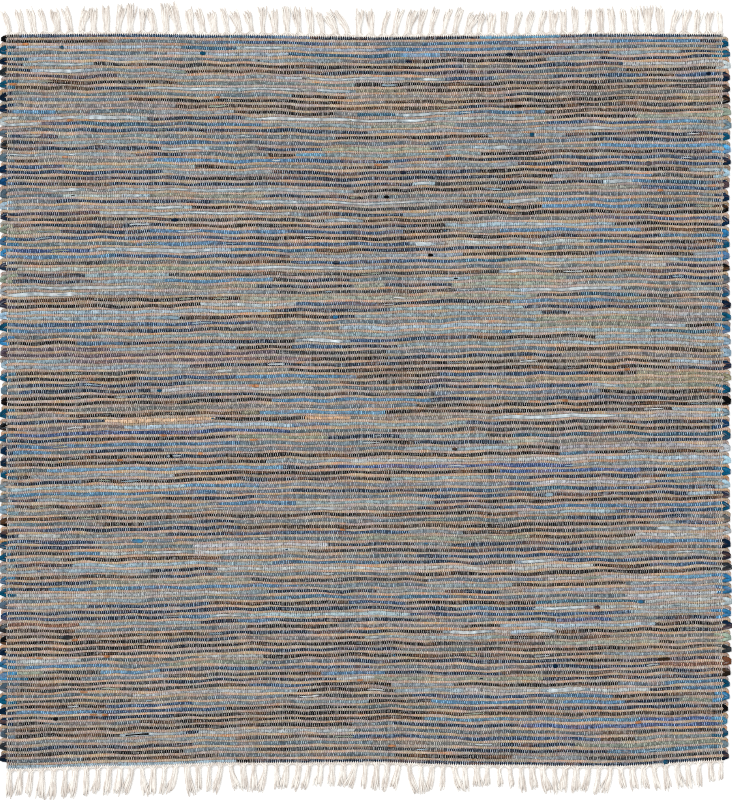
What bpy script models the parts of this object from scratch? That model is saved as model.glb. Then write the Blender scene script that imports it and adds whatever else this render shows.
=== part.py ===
"""A flat-woven rag rug of denim rag rows and jute rows, with a knotted warp fringe at each end.

Units are metres. +X runs along the rows, +Y from the near end to the far end, and +Z is up.
The rug lies flat, and the origin is the middle of its underside.
"""

import math
from collections import namedtuple

import bmesh
import bpy
import numpy as np

MM = 0.001

# ---- Woven field -----------------------------------------------------------------------------------

FIELD_WIDTH = 1.830  # along the rows, over the selvedge turns
FIELD_LENGTH = 1.830  # from the first denim row to the last, before the ends drift
THICKNESS = 6.5 * MM  # through a denim row and the warps over and under it
DENIM_ROWS = 123
DENIM_SHARE = 0.62  # of a row pitch, the rest is a jute row
GROOVE_DEPTH = 1.6 * MM  # from the denim rows' crests down to a jute row, on both faces
SELVEDGE_BAND = 20 * MM  # the width over which the rows thin out into their turns
SELVEDGE_ROUND = 1.5 * MM  # how far the turns' edge lies in from both faces
TURN_CORNER = 3 * MM  # how far a selvedge turn's two corners draw in from its middle
TURN_NOTCH = 7 * MM  # how deep the edge draws in between two selvedge turns
PIECE_GAP = 0.3 * MM  # between the field and each fringe

ROW_PITCH = FIELD_LENGTH / (DENIM_ROWS - 1 + DENIM_SHARE)
LINES_PER_PITCH = 3  # a denim row's near crest, its far crest, and the middle of the jute row
ROW_LINES = LINES_PER_PITCH * DENIM_ROWS - 1  # the last denim row has no jute row beyond it

# How far the rows drift towards the far end, in millimetres, at seven equal stations from the left
# selvedge to the right. share is how far along the rug the row lies, from the near end.
Drift = namedtuple("Drift", "share left left_sixth left_third middle right_third right_sixth right")
ROW_DRIFT = (
    Drift(0.00, -10, -2, 6, 7, 0, -3, 12),
    Drift(0.06, -7, -3, 6, 10, 6, 5, 11),
    Drift(0.12, -13, -9, 1, 4, 2, 6, 12),
    Drift(0.20, -13, -9, -1, 2, 1, 4, 10),
    Drift(0.28, -13, -10, -5, -3, -4, 3, 8),
    Drift(0.35, -15, -12, -5, -3, 0, 5, 9),
    Drift(0.43, -16, -8, -4, -3, -1, 4, 7),
    Drift(0.50, -12, -8, 0, 0, 3, 7, 6),
    Drift(0.58, -8, -7, -2, 0, 9, 11, 6),
    Drift(0.66, -4, -1, 1, 3, 8, 11, 10),
    Drift(0.75, 4, 6, 5, 1, 6, 9, 8),
    Drift(0.82, 2, 3, 2, 1, 7, 12, 10),
    Drift(0.90, 6, 6, 4, -2, 3, 9, 12),
    Drift(0.96, 5, 5, 1, -3, -1, 6, 11),
    Drift(1.00, 1, 3, 0, -5, -2, 3, 2),
)

# ---- Fringe ----------------------------------------------------------------------------------------

HEADING_DEPTH = 9 * MM  # from the last row to the knots
HEADING_DIP = 5 * MM  # how far the heading's edge draws back between two knots
HEADING_HEIGHT = 3.2 * MM
ROOT_WIDTH = 8 * MM  # where a tassel leaves the heading
ROOT_WANDER = 1.5 * MM  # a knot's place along the heading, either way
FRINGE_INSET = 9 * MM  # from the selvedge to the heading's end
LINES_PER_TASSEL = 3  # the root's left side, its right side and the dip after it
TIP_SPACING = 13 * MM  # least distance between the tips of neighbouring tassels
REACH_WANDER = 0.07  # of a tassel's own reach, either way
GIRTH_WANDER = 0.22  # of a tassel's width beyond its knot, either way
LEAN_WANDER = 3 * MM
DRIFT_POWER = 1.5  # how late a tassel bends: 1 is straight, 2 is a parabola

# One tassel from its root to its tip. along is a share of its reach; width and height are its size.
Ring = namedtuple("Ring", "along width height")
TASSEL_RINGS = (
    Ring(0.09, 10.5 * MM, 7.0 * MM),  # the overhand knot
    Ring(0.20, 7.5 * MM, 5.0 * MM),  # the neck below it
    Ring(0.62, 12.5 * MM, 4.0 * MM),  # the skirt
    Ring(1.00, 9.0 * MM, 2.2 * MM),  # the cut ends
)

# Each end's tassels in sections, from the left selvedge. lean is how far the tips lie to the right of
# their knots, gather is the share by which they close up towards the section's middle, and reach is
# the length beyond the heading. lean and reach are in millimetres.
Section = namedtuple("Section", "tassels lean gather reach")
FAR_SECTIONS = (
    Section(6, -12, 0.0, 54),
    Section(2, 9, 0.5, 58),
    Section(1, -4, 0.0, 65),
    Section(2, 9, 0.5, 63),
    Section(2, -4, 0.5, 56),
    Section(2, -8, 0.5, 65),
    Section(6, -13, 0.0, 52),
    Section(5, -5, 0.0, 60),
    Section(3, -20, 0.3, 50),
    Section(2, 1, 0.0, 62),
    Section(7, 14, 0.0, 58),
    Section(4, 11, 0.2, 48),
    Section(4, 9, 0.0, 49),
    Section(5, -1, 0.0, 55),
    Section(4, -5, 0.0, 58),
    Section(5, 7, 0.1, 48),
)
NEAR_SECTIONS = (
    Section(3, -4, 0.2, 60),
    Section(4, -6, 0.1, 69),
    Section(5, -9, 0.1, 62),
    Section(4, -5, 0.3, 62),
    Section(4, -3, 0.3, 62),
    Section(4, 3, 0.3, 60),
    Section(4, -8, 0.2, 58),
    Section(2, -3, -0.4, 52),
    Section(2, -11, 0.4, 52),
    Section(4, -12, 0.1, 58),
    Section(3, 4, 0.5, 62),
    Section(1, -2, 0.0, 53),
    Section(2, 9, 0.5, 55),
    Section(4, 2, 0.0, 45),
    Section(2, 7, 0.0, 52),
    Section(2, 9, 0.5, 58),
    Section(5, -8, 0.1, 56),
    Section(3, 7, 0.0, 48),
    Section(5, 6, 0.1, 54),
    Section(2, 1, 0.0, 40),
)

End = namedtuple("End", "name outward row_line sections seed")
ENDS = (
    End("far_fringe", 1, ROW_LINES - 1, FAR_SECTIONS, 11),
    End("near_fringe", -1, 0, NEAR_SECTIONS, 23),
)


def row_drift(across, share):
    """How far a row lies towards the far end of its even place, in metres.

    across runs from 0 at the left selvedge to 1 at the right. The table is read with a cosine ease
    between its stations, so that the rows bend smoothly.
    """
    shares = [row.share for row in ROW_DRIFT]
    stations = np.array([row[1:] for row in ROW_DRIFT]) * MM
    at_share = [np.interp(share, shares, column) for column in stations.T]
    place = across * (len(at_share) - 1)
    left = min(int(place), len(at_share) - 2)
    ease = (1 - math.cos(math.pi * (place - left))) / 2
    return at_share[left] * (1 - ease) + at_share[left + 1] * ease


def line_place(line):
    """A row line's even distance from the near end, and whether it runs in a groove."""
    row, part = divmod(line, LINES_PER_PITCH)
    within = (0, DENIM_SHARE, (1 + DENIM_SHARE) / 2)[part]
    return (row + within) * ROW_PITCH, part == LINES_PER_PITCH - 1


def turn_inset(line, first_row):
    """How far the edge lies in from the selvedge at a row line.

    A denim row turns back into the next one, so each turn spans two denim rows and the jute row
    between them. first_row is 0 or 1, the denim row at which this side's first turn starts.
    """
    row, part = divmod(line, LINES_PER_PITCH)
    starts = row % 2 == first_row
    near_crest, far_crest, jute = (TURN_CORNER, 0, 0) if starts else (0, TURN_CORNER, TURN_NOTCH)
    return (near_crest, far_crest, jute)[part]


def station_shares():
    """Where the field's points lie across the rug, from the left selvedge to the right."""
    band = SELVEDGE_BAND / FIELD_WIDTH
    return (0, band, 1 / 3, 2 / 3, 1 - band, 1)


def field_point(station, line, upper):
    """A point of the field: across by the stations, along by the row lines, on the upper face or not."""
    across = station_shares()[station]
    even_place, groove = line_place(line)
    last = len(station_shares()) - 1
    inset = turn_inset(line, 0) if station == 0 else -turn_inset(line, 1) if station == last else 0
    depth = GROOVE_DEPTH if groove else 0
    if station in (0, last):
        depth += SELVEDGE_ROUND
    return (
        (across - 0.5) * FIELD_WIDTH + inset,
        even_place - FIELD_LENGTH / 2 + row_drift(across, even_place / FIELD_LENGTH),
        THICKNESS - depth if upper else depth,
    )


def end_edge(x, line):
    """Where the field's first or last row line crosses x: straight between the field's stations."""
    points = [field_point(station, line, True) for station in range(len(station_shares()))]
    return float(np.interp(x, [point[0] for point in points], [point[1] for point in points]))


def slab(columns, lines, place):
    """A closed bmesh slab: a grid of columns by lines points, extruded up, each point set by place.

    place(column, line, upper) gives a point. Returns the bmesh.
    """
    bm = bmesh.new()
    bmesh.ops.create_grid(bm, x_segments=columns - 1, y_segments=lines - 1, size=1)
    lower = list(bm.verts)
    made = bmesh.ops.extrude_face_region(bm, geom=bm.faces[:])
    raised = [item for item in made["geom"] if isinstance(item, bmesh.types.BMVert)]
    for vertices, upper in ((lower, False), (raised, True)):
        for vertex in vertices:
            column = round((vertex.co.x + 1) / 2 * (columns - 1))
            line = round((vertex.co.y + 1) / 2 * (lines - 1))
            vertex.co = place(column, line, upper)
    bmesh.ops.recalc_face_normals(bm, faces=bm.faces[:])
    return bm


def object_from(bm, name, material, collection):
    """Makes a named object from the bmesh, in the collection."""
    mesh = bpy.data.meshes.new(name)
    bm.to_mesh(mesh)
    bm.free()
    mesh.materials.append(material)
    made = bpy.data.objects.new(name, mesh)
    collection.objects.link(made)
    return made


def fabric(name, colour, roughness):
    """A plain cloth or yarn material."""
    material = bpy.data.materials.new(name)
    material.use_nodes = True
    shader = material.node_tree.nodes["Principled BSDF"]
    shader.inputs["Base Color"].default_value = (*colour, 1)
    shader.inputs["Roughness"].default_value = roughness
    shader.inputs["Metallic"].default_value = 0
    return material


def woven_field(collection):
    """The ribbed cloth: denim rows as flat-topped ribs, jute rows as grooves, scalloped selvedges."""
    material = fabric("denim_and_jute_weave", (0.25, 0.23, 0.22), 0.9)
    bm = slab(len(station_shares()), ROW_LINES, field_point)
    return object_from(bm, "woven_field", material, collection)


def tassel_plan(end):
    """Each tassel's root x, tip x, reach and girth, from the left.

    Roots are evenly spaced with a small wander. A section's tips shift by its lean and close up by
    its gather, and are then spread just enough to keep their spacing.
    """
    draw = np.random.default_rng(end.seed)
    count = sum(section.tassels for section in end.sections)
    span = FIELD_WIDTH - 2 * FRINGE_INSET
    roots = ((np.arange(count) + 0.5) / count - 0.5) * span + draw.uniform(-ROOT_WANDER, ROOT_WANDER, count)
    tips, reaches = [], []
    for section in end.sections:
        own = roots[len(tips) : len(tips) + section.tassels]
        closed = own + section.gather * (own.mean() - own)
        tips.extend(closed + section.lean * MM)
        reaches.extend([section.reach * MM] * section.tassels)
    tips = np.array(tips) + draw.uniform(-LEAN_WANDER, LEAN_WANDER, count)
    reaches = np.array(reaches) * (1 + draw.uniform(-REACH_WANDER, REACH_WANDER, count))
    steps = np.arange(count) * TIP_SPACING
    tips = np.maximum.accumulate(tips - steps) + steps
    girths = 1 + draw.uniform(-GIRTH_WANDER, GIRTH_WANDER, count)
    return roots, tips, reaches, girths


def heading_columns(roots):
    """The heading's points across: both sides of each root and the dip between roots, then the ends.

    Returns their x, their depth from the last row, and the cells that carry a tassel.
    """
    edge = FIELD_WIDTH / 2 - FRINGE_INSET
    dips = (roots[1:] + roots[:-1]) / 2
    places = [(-edge, HEADING_DEPTH - HEADING_DIP), (edge, HEADING_DEPTH - HEADING_DIP)]
    places += [(dip, HEADING_DEPTH - HEADING_DIP) for dip in dips]
    places += [(root + side * ROOT_WIDTH / 2, HEADING_DEPTH) for root in roots for side in (-1, 1)]
    places.sort()
    cells = [1 + LINES_PER_TASSEL * tassel for tassel in range(len(roots))]
    return places, cells


def left_to_right(faces):
    """The faces in the order of their middles across the rug."""
    return sorted(faces, key=lambda face: face.calc_center_median().x)


def fringe(end, collection):
    """One end's heading, a narrow strip parted from the field, with its tassels fused to it."""
    roots, tips, reaches, girths = tassel_plan(end)
    places, cells = heading_columns(roots)

    def place(column, line, upper):
        x, depth = places[column]
        outward = PIECE_GAP + depth * line
        return x, end_edge(x, end.row_line) + end.outward * outward, HEADING_HEIGHT if upper else 0

    bm = slab(len(places), 2, place)
    bm.faces.ensure_lookup_table()
    walls = left_to_right(face for face in bm.faces if face.normal.y * end.outward > 0.5)
    tops = [walls[cell] for cell in cells]
    start = [face.calc_center_median() for face in tops]
    for ring in TASSEL_RINGS:
        tops = left_to_right(bmesh.ops.extrude_discrete_faces(bm, faces=tops)["faces"])
        for face, root, tip, reach, girth in zip(tops, start, tips, reaches, girths, strict=True):
            shape_ring(face, root, tip, reach, end.outward, ring, ring.width * girth)
    bmesh.ops.recalc_face_normals(bm, faces=bm.faces[:])
    material = fabric(end.name + "_cotton", (0.80, 0.74, 0.68), 0.9)
    return object_from(bm, end.name, material, collection)


def shape_ring(face, root, tip_x, reach, outward, ring, width):
    """Sets a tassel's newest face: its middle on a path that bends from the root to the tip.

    The path leaves the heading straight and drifts sideways by a power of the way along. The face
    stands across it, with its lower edge on the floor.
    """
    drift = tip_x - root.x
    middle = face.calc_center_median()
    across = DRIFT_POWER * drift * ring.along ** (DRIFT_POWER - 1)
    length = math.hypot(across, reach)
    side = (reach / length, -across / length)
    x = root.x + drift * ring.along**DRIFT_POWER
    y = root.y + outward * reach * ring.along
    for vertex in face.verts:
        hand = math.copysign(width / 2, vertex.co.x - middle.x)
        height = ring.height if vertex.co.z > middle.z else 0
        vertex.co = (x + hand * side[0], y + outward * hand * side[1], height)


def centre_on_underside(objects):
    """Moves the meshes so that the origin is the middle of the whole rug's footprint."""
    corners = np.array([vertex.co[:2] for made in objects for vertex in made.data.vertices])
    middle = (corners.min(axis=0) + corners.max(axis=0)) / 2
    for made in objects:
        for vertex in made.data.vertices:
            vertex.co.x -= middle[0]
            vertex.co.y -= middle[1]


def main():
    for leftover in list(bpy.data.objects):
        bpy.data.objects.remove(leftover, do_unlink=True)
    collection = bpy.data.collections.new("rag_rug")
    bpy.context.scene.collection.children.link(collection)
    pieces = [woven_field(collection)]
    pieces += [fringe(end, collection) for end in ENDS]
    centre_on_underside(pieces)


main()
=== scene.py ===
"""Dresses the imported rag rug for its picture: rags, jute, warps, selvedge turns and knotted fringe.

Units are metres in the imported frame: +X runs along the rows, +Y along the warps from the near end to
the far end, and +Z is up. The rug lies on a plain pale floor, and the camera looks straight down.
The cloth is a plain weave: rag rows and jute rows by turns, on warps that pass over one kind of row
and under the other, every second warp the other way round.
"""

import logging
import math
from dataclasses import dataclass, field
from enum import Enum
from typing import NamedTuple

import bpy
import numpy as np
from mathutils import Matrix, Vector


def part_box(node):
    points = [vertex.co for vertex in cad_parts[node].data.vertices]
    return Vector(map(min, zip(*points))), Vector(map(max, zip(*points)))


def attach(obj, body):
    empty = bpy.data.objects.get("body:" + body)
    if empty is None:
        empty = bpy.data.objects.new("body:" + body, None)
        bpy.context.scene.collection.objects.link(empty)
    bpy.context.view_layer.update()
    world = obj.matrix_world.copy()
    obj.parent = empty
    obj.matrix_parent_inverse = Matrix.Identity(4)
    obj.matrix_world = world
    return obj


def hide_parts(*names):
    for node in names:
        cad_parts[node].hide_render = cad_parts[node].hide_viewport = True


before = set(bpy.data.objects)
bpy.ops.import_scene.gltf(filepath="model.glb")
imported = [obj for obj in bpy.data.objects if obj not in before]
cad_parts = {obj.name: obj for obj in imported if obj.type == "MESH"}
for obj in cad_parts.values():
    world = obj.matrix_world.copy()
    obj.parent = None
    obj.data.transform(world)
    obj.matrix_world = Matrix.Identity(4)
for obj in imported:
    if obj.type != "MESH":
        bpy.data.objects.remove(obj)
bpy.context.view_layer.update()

LOG = logging.getLogger("rag_rug")
MM = 0.001
ALONG_MAP = "along"  # u runs along a yarn in metres, v round it in metres
BAKE_MAP = "OFBake"  # every yarn in a strip of its own

# ---- The photograph's frame ------------------------------------------------------------------------

PHOTO_SIZE = (732, 800)
PHOTO_MIDDLE = (365, 400)
PIXEL = 2.506 * MM  # what one pixel spans on the rug

# ---- Colour ----------------------------------------------------------------------------------------

SCREEN_POWER = 2.2  # a screen colour's share to this power is the light that it stands for
LUMINANCE = np.array([[0.30], [0.59], [0.11]])  # how much red, green and blue weigh in a grey
RUBBED_GREY = 0.60  # how light a soiled warp is on the screen's scale
ROWS_A_METRE = 97.0  # lumps of a stain along the warps, so that each row has its own


def linear(colour: tuple[float, float, float]) -> np.ndarray:
    """Turns a screen colour of 0 to 255 into the light that it stands for."""
    return (np.asarray(colour, float) / 255) ** SCREEN_POWER


def screen(red: float, green: float, blue: float) -> tuple[float, float, float, float]:
    """A screen colour of 0 to 255 as a shader's colour."""
    return (*linear((red, green, blue)), 1.0)


WARM = screen(206, 146, 100)  # what rags and warps take on where the jute has rubbed on them
CLOTH_SPECULAR = 0.08  # cloth hardly shines
SEED_SPREAD = 40  # how far apart the noises of two yarns lie

# ---- Maps ------------------------------------------------------------------------------------------

CAP_SHARE = 0.02  # of the bake map's height, for the yarns' end caps
CAPS_A_LINE = 400
STRIP_MARGIN = 0.06  # of a strip's height, left empty below its faces
STRIP_FILL = 0.88
STRIP_GAP = 0.04  # of a ribbon's strip, left empty at both its sides


class Rag(Enum):
    """The cloths that the rags were cut from, by their washed colours: red, green and blue of 255."""

    NAVY = (12, 36, 58)
    INDIGO = (24, 60, 94)
    BLACK = (12, 14, 17)
    CHARCOAL = (40, 46, 51)
    BROWN = (47, 39, 32)
    RUST = (106, 68, 50)
    VIOLET = (45, 45, 61)
    PLUM = (86, 76, 90)
    TEAL = (20, 78, 106)
    ROYAL = (36, 70, 122)
    BLUE = (50, 108, 148)
    BRIGHT = (72, 138, 178)
    SKY = (146, 174, 190)
    PALE = (190, 202, 207)
    SLATE = (82, 103, 117)
    STEEL = (120, 140, 150)
    GREY = (110, 114, 118)
    SAGE = (140, 154, 140)
    KHAKI = (122, 120, 96)
    TAN = (206, 168, 128)
    ORANGE = (194, 132, 90)


class Mix(Enum):
    """Which rags a weaver reached for over a stretch of the rug, with how often each one comes."""

    DARK = {
        Rag.NAVY: 6, Rag.BLACK: 5, Rag.CHARCOAL: 3, Rag.INDIGO: 2, Rag.SLATE: 4, Rag.BROWN: 2,
        Rag.VIOLET: 1, Rag.BLUE: 1, Rag.STEEL: 2, Rag.GREY: 1,
    }
    BROWN = {
        Rag.BLACK: 6, Rag.BROWN: 4, Rag.CHARCOAL: 4, Rag.GREY: 4, Rag.NAVY: 3, Rag.SLATE: 3, Rag.KHAKI: 1,
    }
    BLUE = {Rag.NAVY: 4, Rag.INDIGO: 4, Rag.BLUE: 4, Rag.SLATE: 3, Rag.SKY: 2, Rag.TEAL: 2, Rag.BLACK: 2}
    PALE = {Rag.SLATE: 4, Rag.STEEL: 3, Rag.SKY: 3, Rag.PALE: 2, Rag.SAGE: 3, Rag.NAVY: 4, Rag.CHARCOAL: 3}
    MIXED = {
        Rag.NAVY: 5, Rag.BLACK: 4, Rag.SLATE: 4, Rag.CHARCOAL: 3, Rag.STEEL: 2, Rag.BLUE: 2, Rag.SAGE: 1,
        Rag.INDIGO: 2, Rag.TEAL: 1, Rag.PALE: 1, Rag.GREY: 1,
    }


class Band(NamedTuple):
    """A stretch of rows down to a pixel row of the photograph, and its mix of rags."""

    down_to: float
    mix: Mix


BANDS = (
    Band(60, Mix.BLUE), Band(84, Mix.DARK), Band(112, Mix.BROWN), Band(150, Mix.MIXED),
    Band(180, Mix.DARK), Band(215, Mix.MIXED), Band(232, Mix.BROWN), Band(262, Mix.BLUE),
    Band(300, Mix.PALE), Band(330, Mix.MIXED), Band(346, Mix.BLUE), Band(384, Mix.DARK),
    Band(400, Mix.MIXED), Band(424, Mix.BROWN), Band(480, Mix.MIXED), Band(500, Mix.BLUE),
    Band(530, Mix.DARK), Band(600, Mix.MIXED), Band(622, Mix.BLUE), Band(652, Mix.BROWN),
    Band(704, Mix.MIXED), Band(770, Mix.DARK),
)


class Run(NamedTuple):
    """A rag that stands out in the photograph: its pixel row, its two ends and its cloth.

    In the table 64 ends, which lay at columns 245 and 490, were moved by chance, by up to 52 pixels.
    """

    down: float
    left: float
    right: float
    rag: Rag


def runs(rag: Rag, *places: tuple[float, float, float]) -> list[Run]:
    """Runs of one cloth, each given by its pixel row, its left end and its right end."""
    return [Run(*place, rag) for place in places]


# Where two runs meet, the later one covers the earlier one.
RUNS = (
    *runs(
        Rag.BLUE, (43, 610, 700), (122, 655, 700), (142, 150, 236), (147, 600, 690), (207, 542, 640),
        (232, 500, 640), (256, 20, 115), (281, 165, 273), (400, 273, 430), (424, 292, 330), (446, 8, 240),
        (503, 218, 296), (506, 504, 740), (562, 207, 380), (667, 25, 110), (684, 665, 740),
        (703, 563, 625),
    ),
    *runs(
        Rag.BLACK, (113, 234, 335), (116, 552, 635), (213, 471, 732), (237, 330, 540), (250, 316, 365),
        (300, 8, 240), (306, 8, 200), (316, 254, 330), (318, 180, 254), (337, 471, 595), (370, 290, 527),
        (379, 8, 140), (397, 8, 120), (403, 8, 264), (404, 444, 670), (411, 385, 670), (455, 226, 560),
        (481, 82, 236), (500, 479, 740), (518, 8, 518), (524, 463, 650), (559, 60, 221), (650, 8, 273),
        (719, 275, 420), (735, 8, 120), (759, 226, 518),
    ),
    *runs(
        Rag.BRIGHT, (37, 480, 560), (54, 400, 440), (147, 690, 740), (156, 296, 325), (301, 510, 608),
        (411, 260, 382), (470, 48, 282), (578, 660, 740), (673, 100, 160), (720, 424, 640),
    ),
    *runs(
        Rag.STEEL, (147, 444, 600), (156, 325, 481), (166, 65, 195), (255, 290, 430), (466, 575, 740),
        (484, 259, 509), (512, 8, 230), (638, 365, 509),
    ),
    *runs(
        Rag.SKY, (48, 100, 155), (60, 547, 600), (128, 521, 732), (142, 52, 150), (149, 470, 492),
        (176, 553, 625), (207, 8, 180), (226, 445, 615), (261, 527, 680), (307, 390, 523), (312, 5, 270),
        (311, 355, 542), (318, 5, 178), (322, 340, 577), (331, 512, 650), (334, 97, 502), (337, 595, 740),
        (344, 504, 740), (346, 398, 504), (349, 110, 236), (361, 8, 70), (361, 670, 740), (367, 8, 190),
        (411, 672, 740), (424, 330, 466), (427, 125, 292), (448, 405, 518), (454, 563, 740),
        (478, 390, 481), (488, 8, 185), (512, 561, 615), (565, 73, 273), (571, 8, 150), (585, 627, 740),
        (591, 523, 740), (614, 218, 410), (625, 80, 200), (625, 500, 655), (689, 395, 509),
        (764, 10, 236),
    ),
    *runs(
        Rag.PALE, (66, 620, 732), (89, 145, 240), (119, 254, 502), (243, 444, 590), (417, 495, 740),
        (448, 560, 740), (461, 350, 590), (481, 530, 655), (530, 657, 740), (536, 635, 740),
        (553, 100, 264), (569, 218, 593), (578, 548, 655), (594, 8, 230), (600, 645, 740),
        (606, 540, 740), (632, 448, 555), (692, 463, 650), (730, 199, 355), (735, 120, 175),
    ),
    *runs(
        Rag.SAGE, (116, 640, 732), (149, 322, 430), (195, 150, 264), (231, 5, 60), (283, 452, 560),
        (288, 155, 257), (324, 540, 650), (644, 545, 660), (746, 575, 732),
    ),
    *runs(
        Rag.BROWN, (156, 267, 296), (254, 463, 595), (272, 550, 640), (361, 452, 668), (536, 530, 635),
        (585, 512, 625), (631, 8, 75), (715, 444, 732),
    ),
    *runs(
        Rag.ROYAL, (250, 5, 95), (434, 20, 290), (467, 338, 572), (472, 500, 640), (619, 556, 610),
        (720, 640, 740), (727, 520, 740),
    ),
    *runs(
        Rag.INDIGO, (37, 20, 225), (158, 552, 732), (163, 600, 732), (219, 590, 732), (530, 8, 70),
        (735, 352, 534),
    ),
    *runs(Rag.NAVY, (184, 110, 410), (346, 343, 398), (423, 622, 740), (764, 255, 700)),
    *runs(Rag.VIOLET, (213, 8, 105), (266, 665, 740), (272, 640, 732), (656, 620, 740)),
    *runs(Rag.PLUM, (349, 8, 110), (355, 8, 276), (357, 276, 310), (361, 70, 257)),
    *runs(Rag.TEAL, (37, 225, 250), (295, 580, 640), (430, 513, 732)),
    *runs(Rag.KHAKI, (373, 636, 732), (379, 471, 732)),
    *runs(Rag.TAN, (418, 305, 350), (421, 105, 215)),
    *runs(Rag.RUST, (625, 8, 80), (662, 660, 740)),
)


# The pixel rows of the selvedge turns in which each cloth shows.
LEFT_TURNS = {
    Rag.BLACK: (33, 402, 425, 521, 640),
    Rag.TEAL: (45, 80, 330, 378, 413, 439, 474, 544, 556, 591, 697),
    Rag.NAVY: (57, 101, 112, 172, 218, 268, 451, 463, 532, 652, 708, 719, 754),
    Rag.CHARCOAL: (67, 146, 627, 742),
    Rag.SLATE: (91, 135, 158, 194, 390, 604, 686, 732),
    Rag.PALE: (122, 293),
    Rag.INDIGO: (184, 615),
    Rag.SKY: (206, 318, 366, 510),
    Rag.SAGE: (230, 280),
    Rag.BLUE: (244, 256, 342, 577, 662, 675),
    Rag.VIOLET: (306,),
    Rag.PLUM: (354,),
    Rag.STEEL: (486, 498, 567),
    Rag.ROYAL: (764,),
}
RIGHT_TURNS = {
    Rag.TEAL: (43, 55, 137, 248, 291, 316, 388, 438, 470, 505, 682, 734),
    Rag.PALE: (66, 451, 531, 602),
    Rag.NAVY: (78, 163, 186, 199, 225, 304, 365, 493, 543, 627, 756),
    Rag.CHARCOAL: (90, 566, 648),
    Rag.BLACK: (101, 213, 269, 400, 707),
    Rag.SAGE: (112, 636),
    Rag.SKY: (125, 172, 342, 353, 412, 461, 481),
    Rag.BRIGHT: (149, 719),
    Rag.BLUE: (238, 259, 330, 579, 615, 693),
    Rag.SLATE: (280,),
    Rag.KHAKI: (376,),
    Rag.INDIGO: (426,),
    Rag.GREY: (518,),
    Rag.VIOLET: (554,),
    Rag.RUST: (660,),
    Rag.BROWN: (671,),
    Rag.STEEL: (745,),
}


class Loose(NamedTuple):
    """A rag edge or knot that lies over the warps: its pixel row, ends, width in pixels and cloth."""

    down: float
    left: float
    right: float
    wide: float
    rag: Rag


def loose(rag: Rag, *places: tuple[float, float, float, float]) -> list[Loose]:
    """Loose edges of one cloth, each given by its pixel row, its two ends and its width."""
    return [Loose(*place, rag) for place in places]


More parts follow.
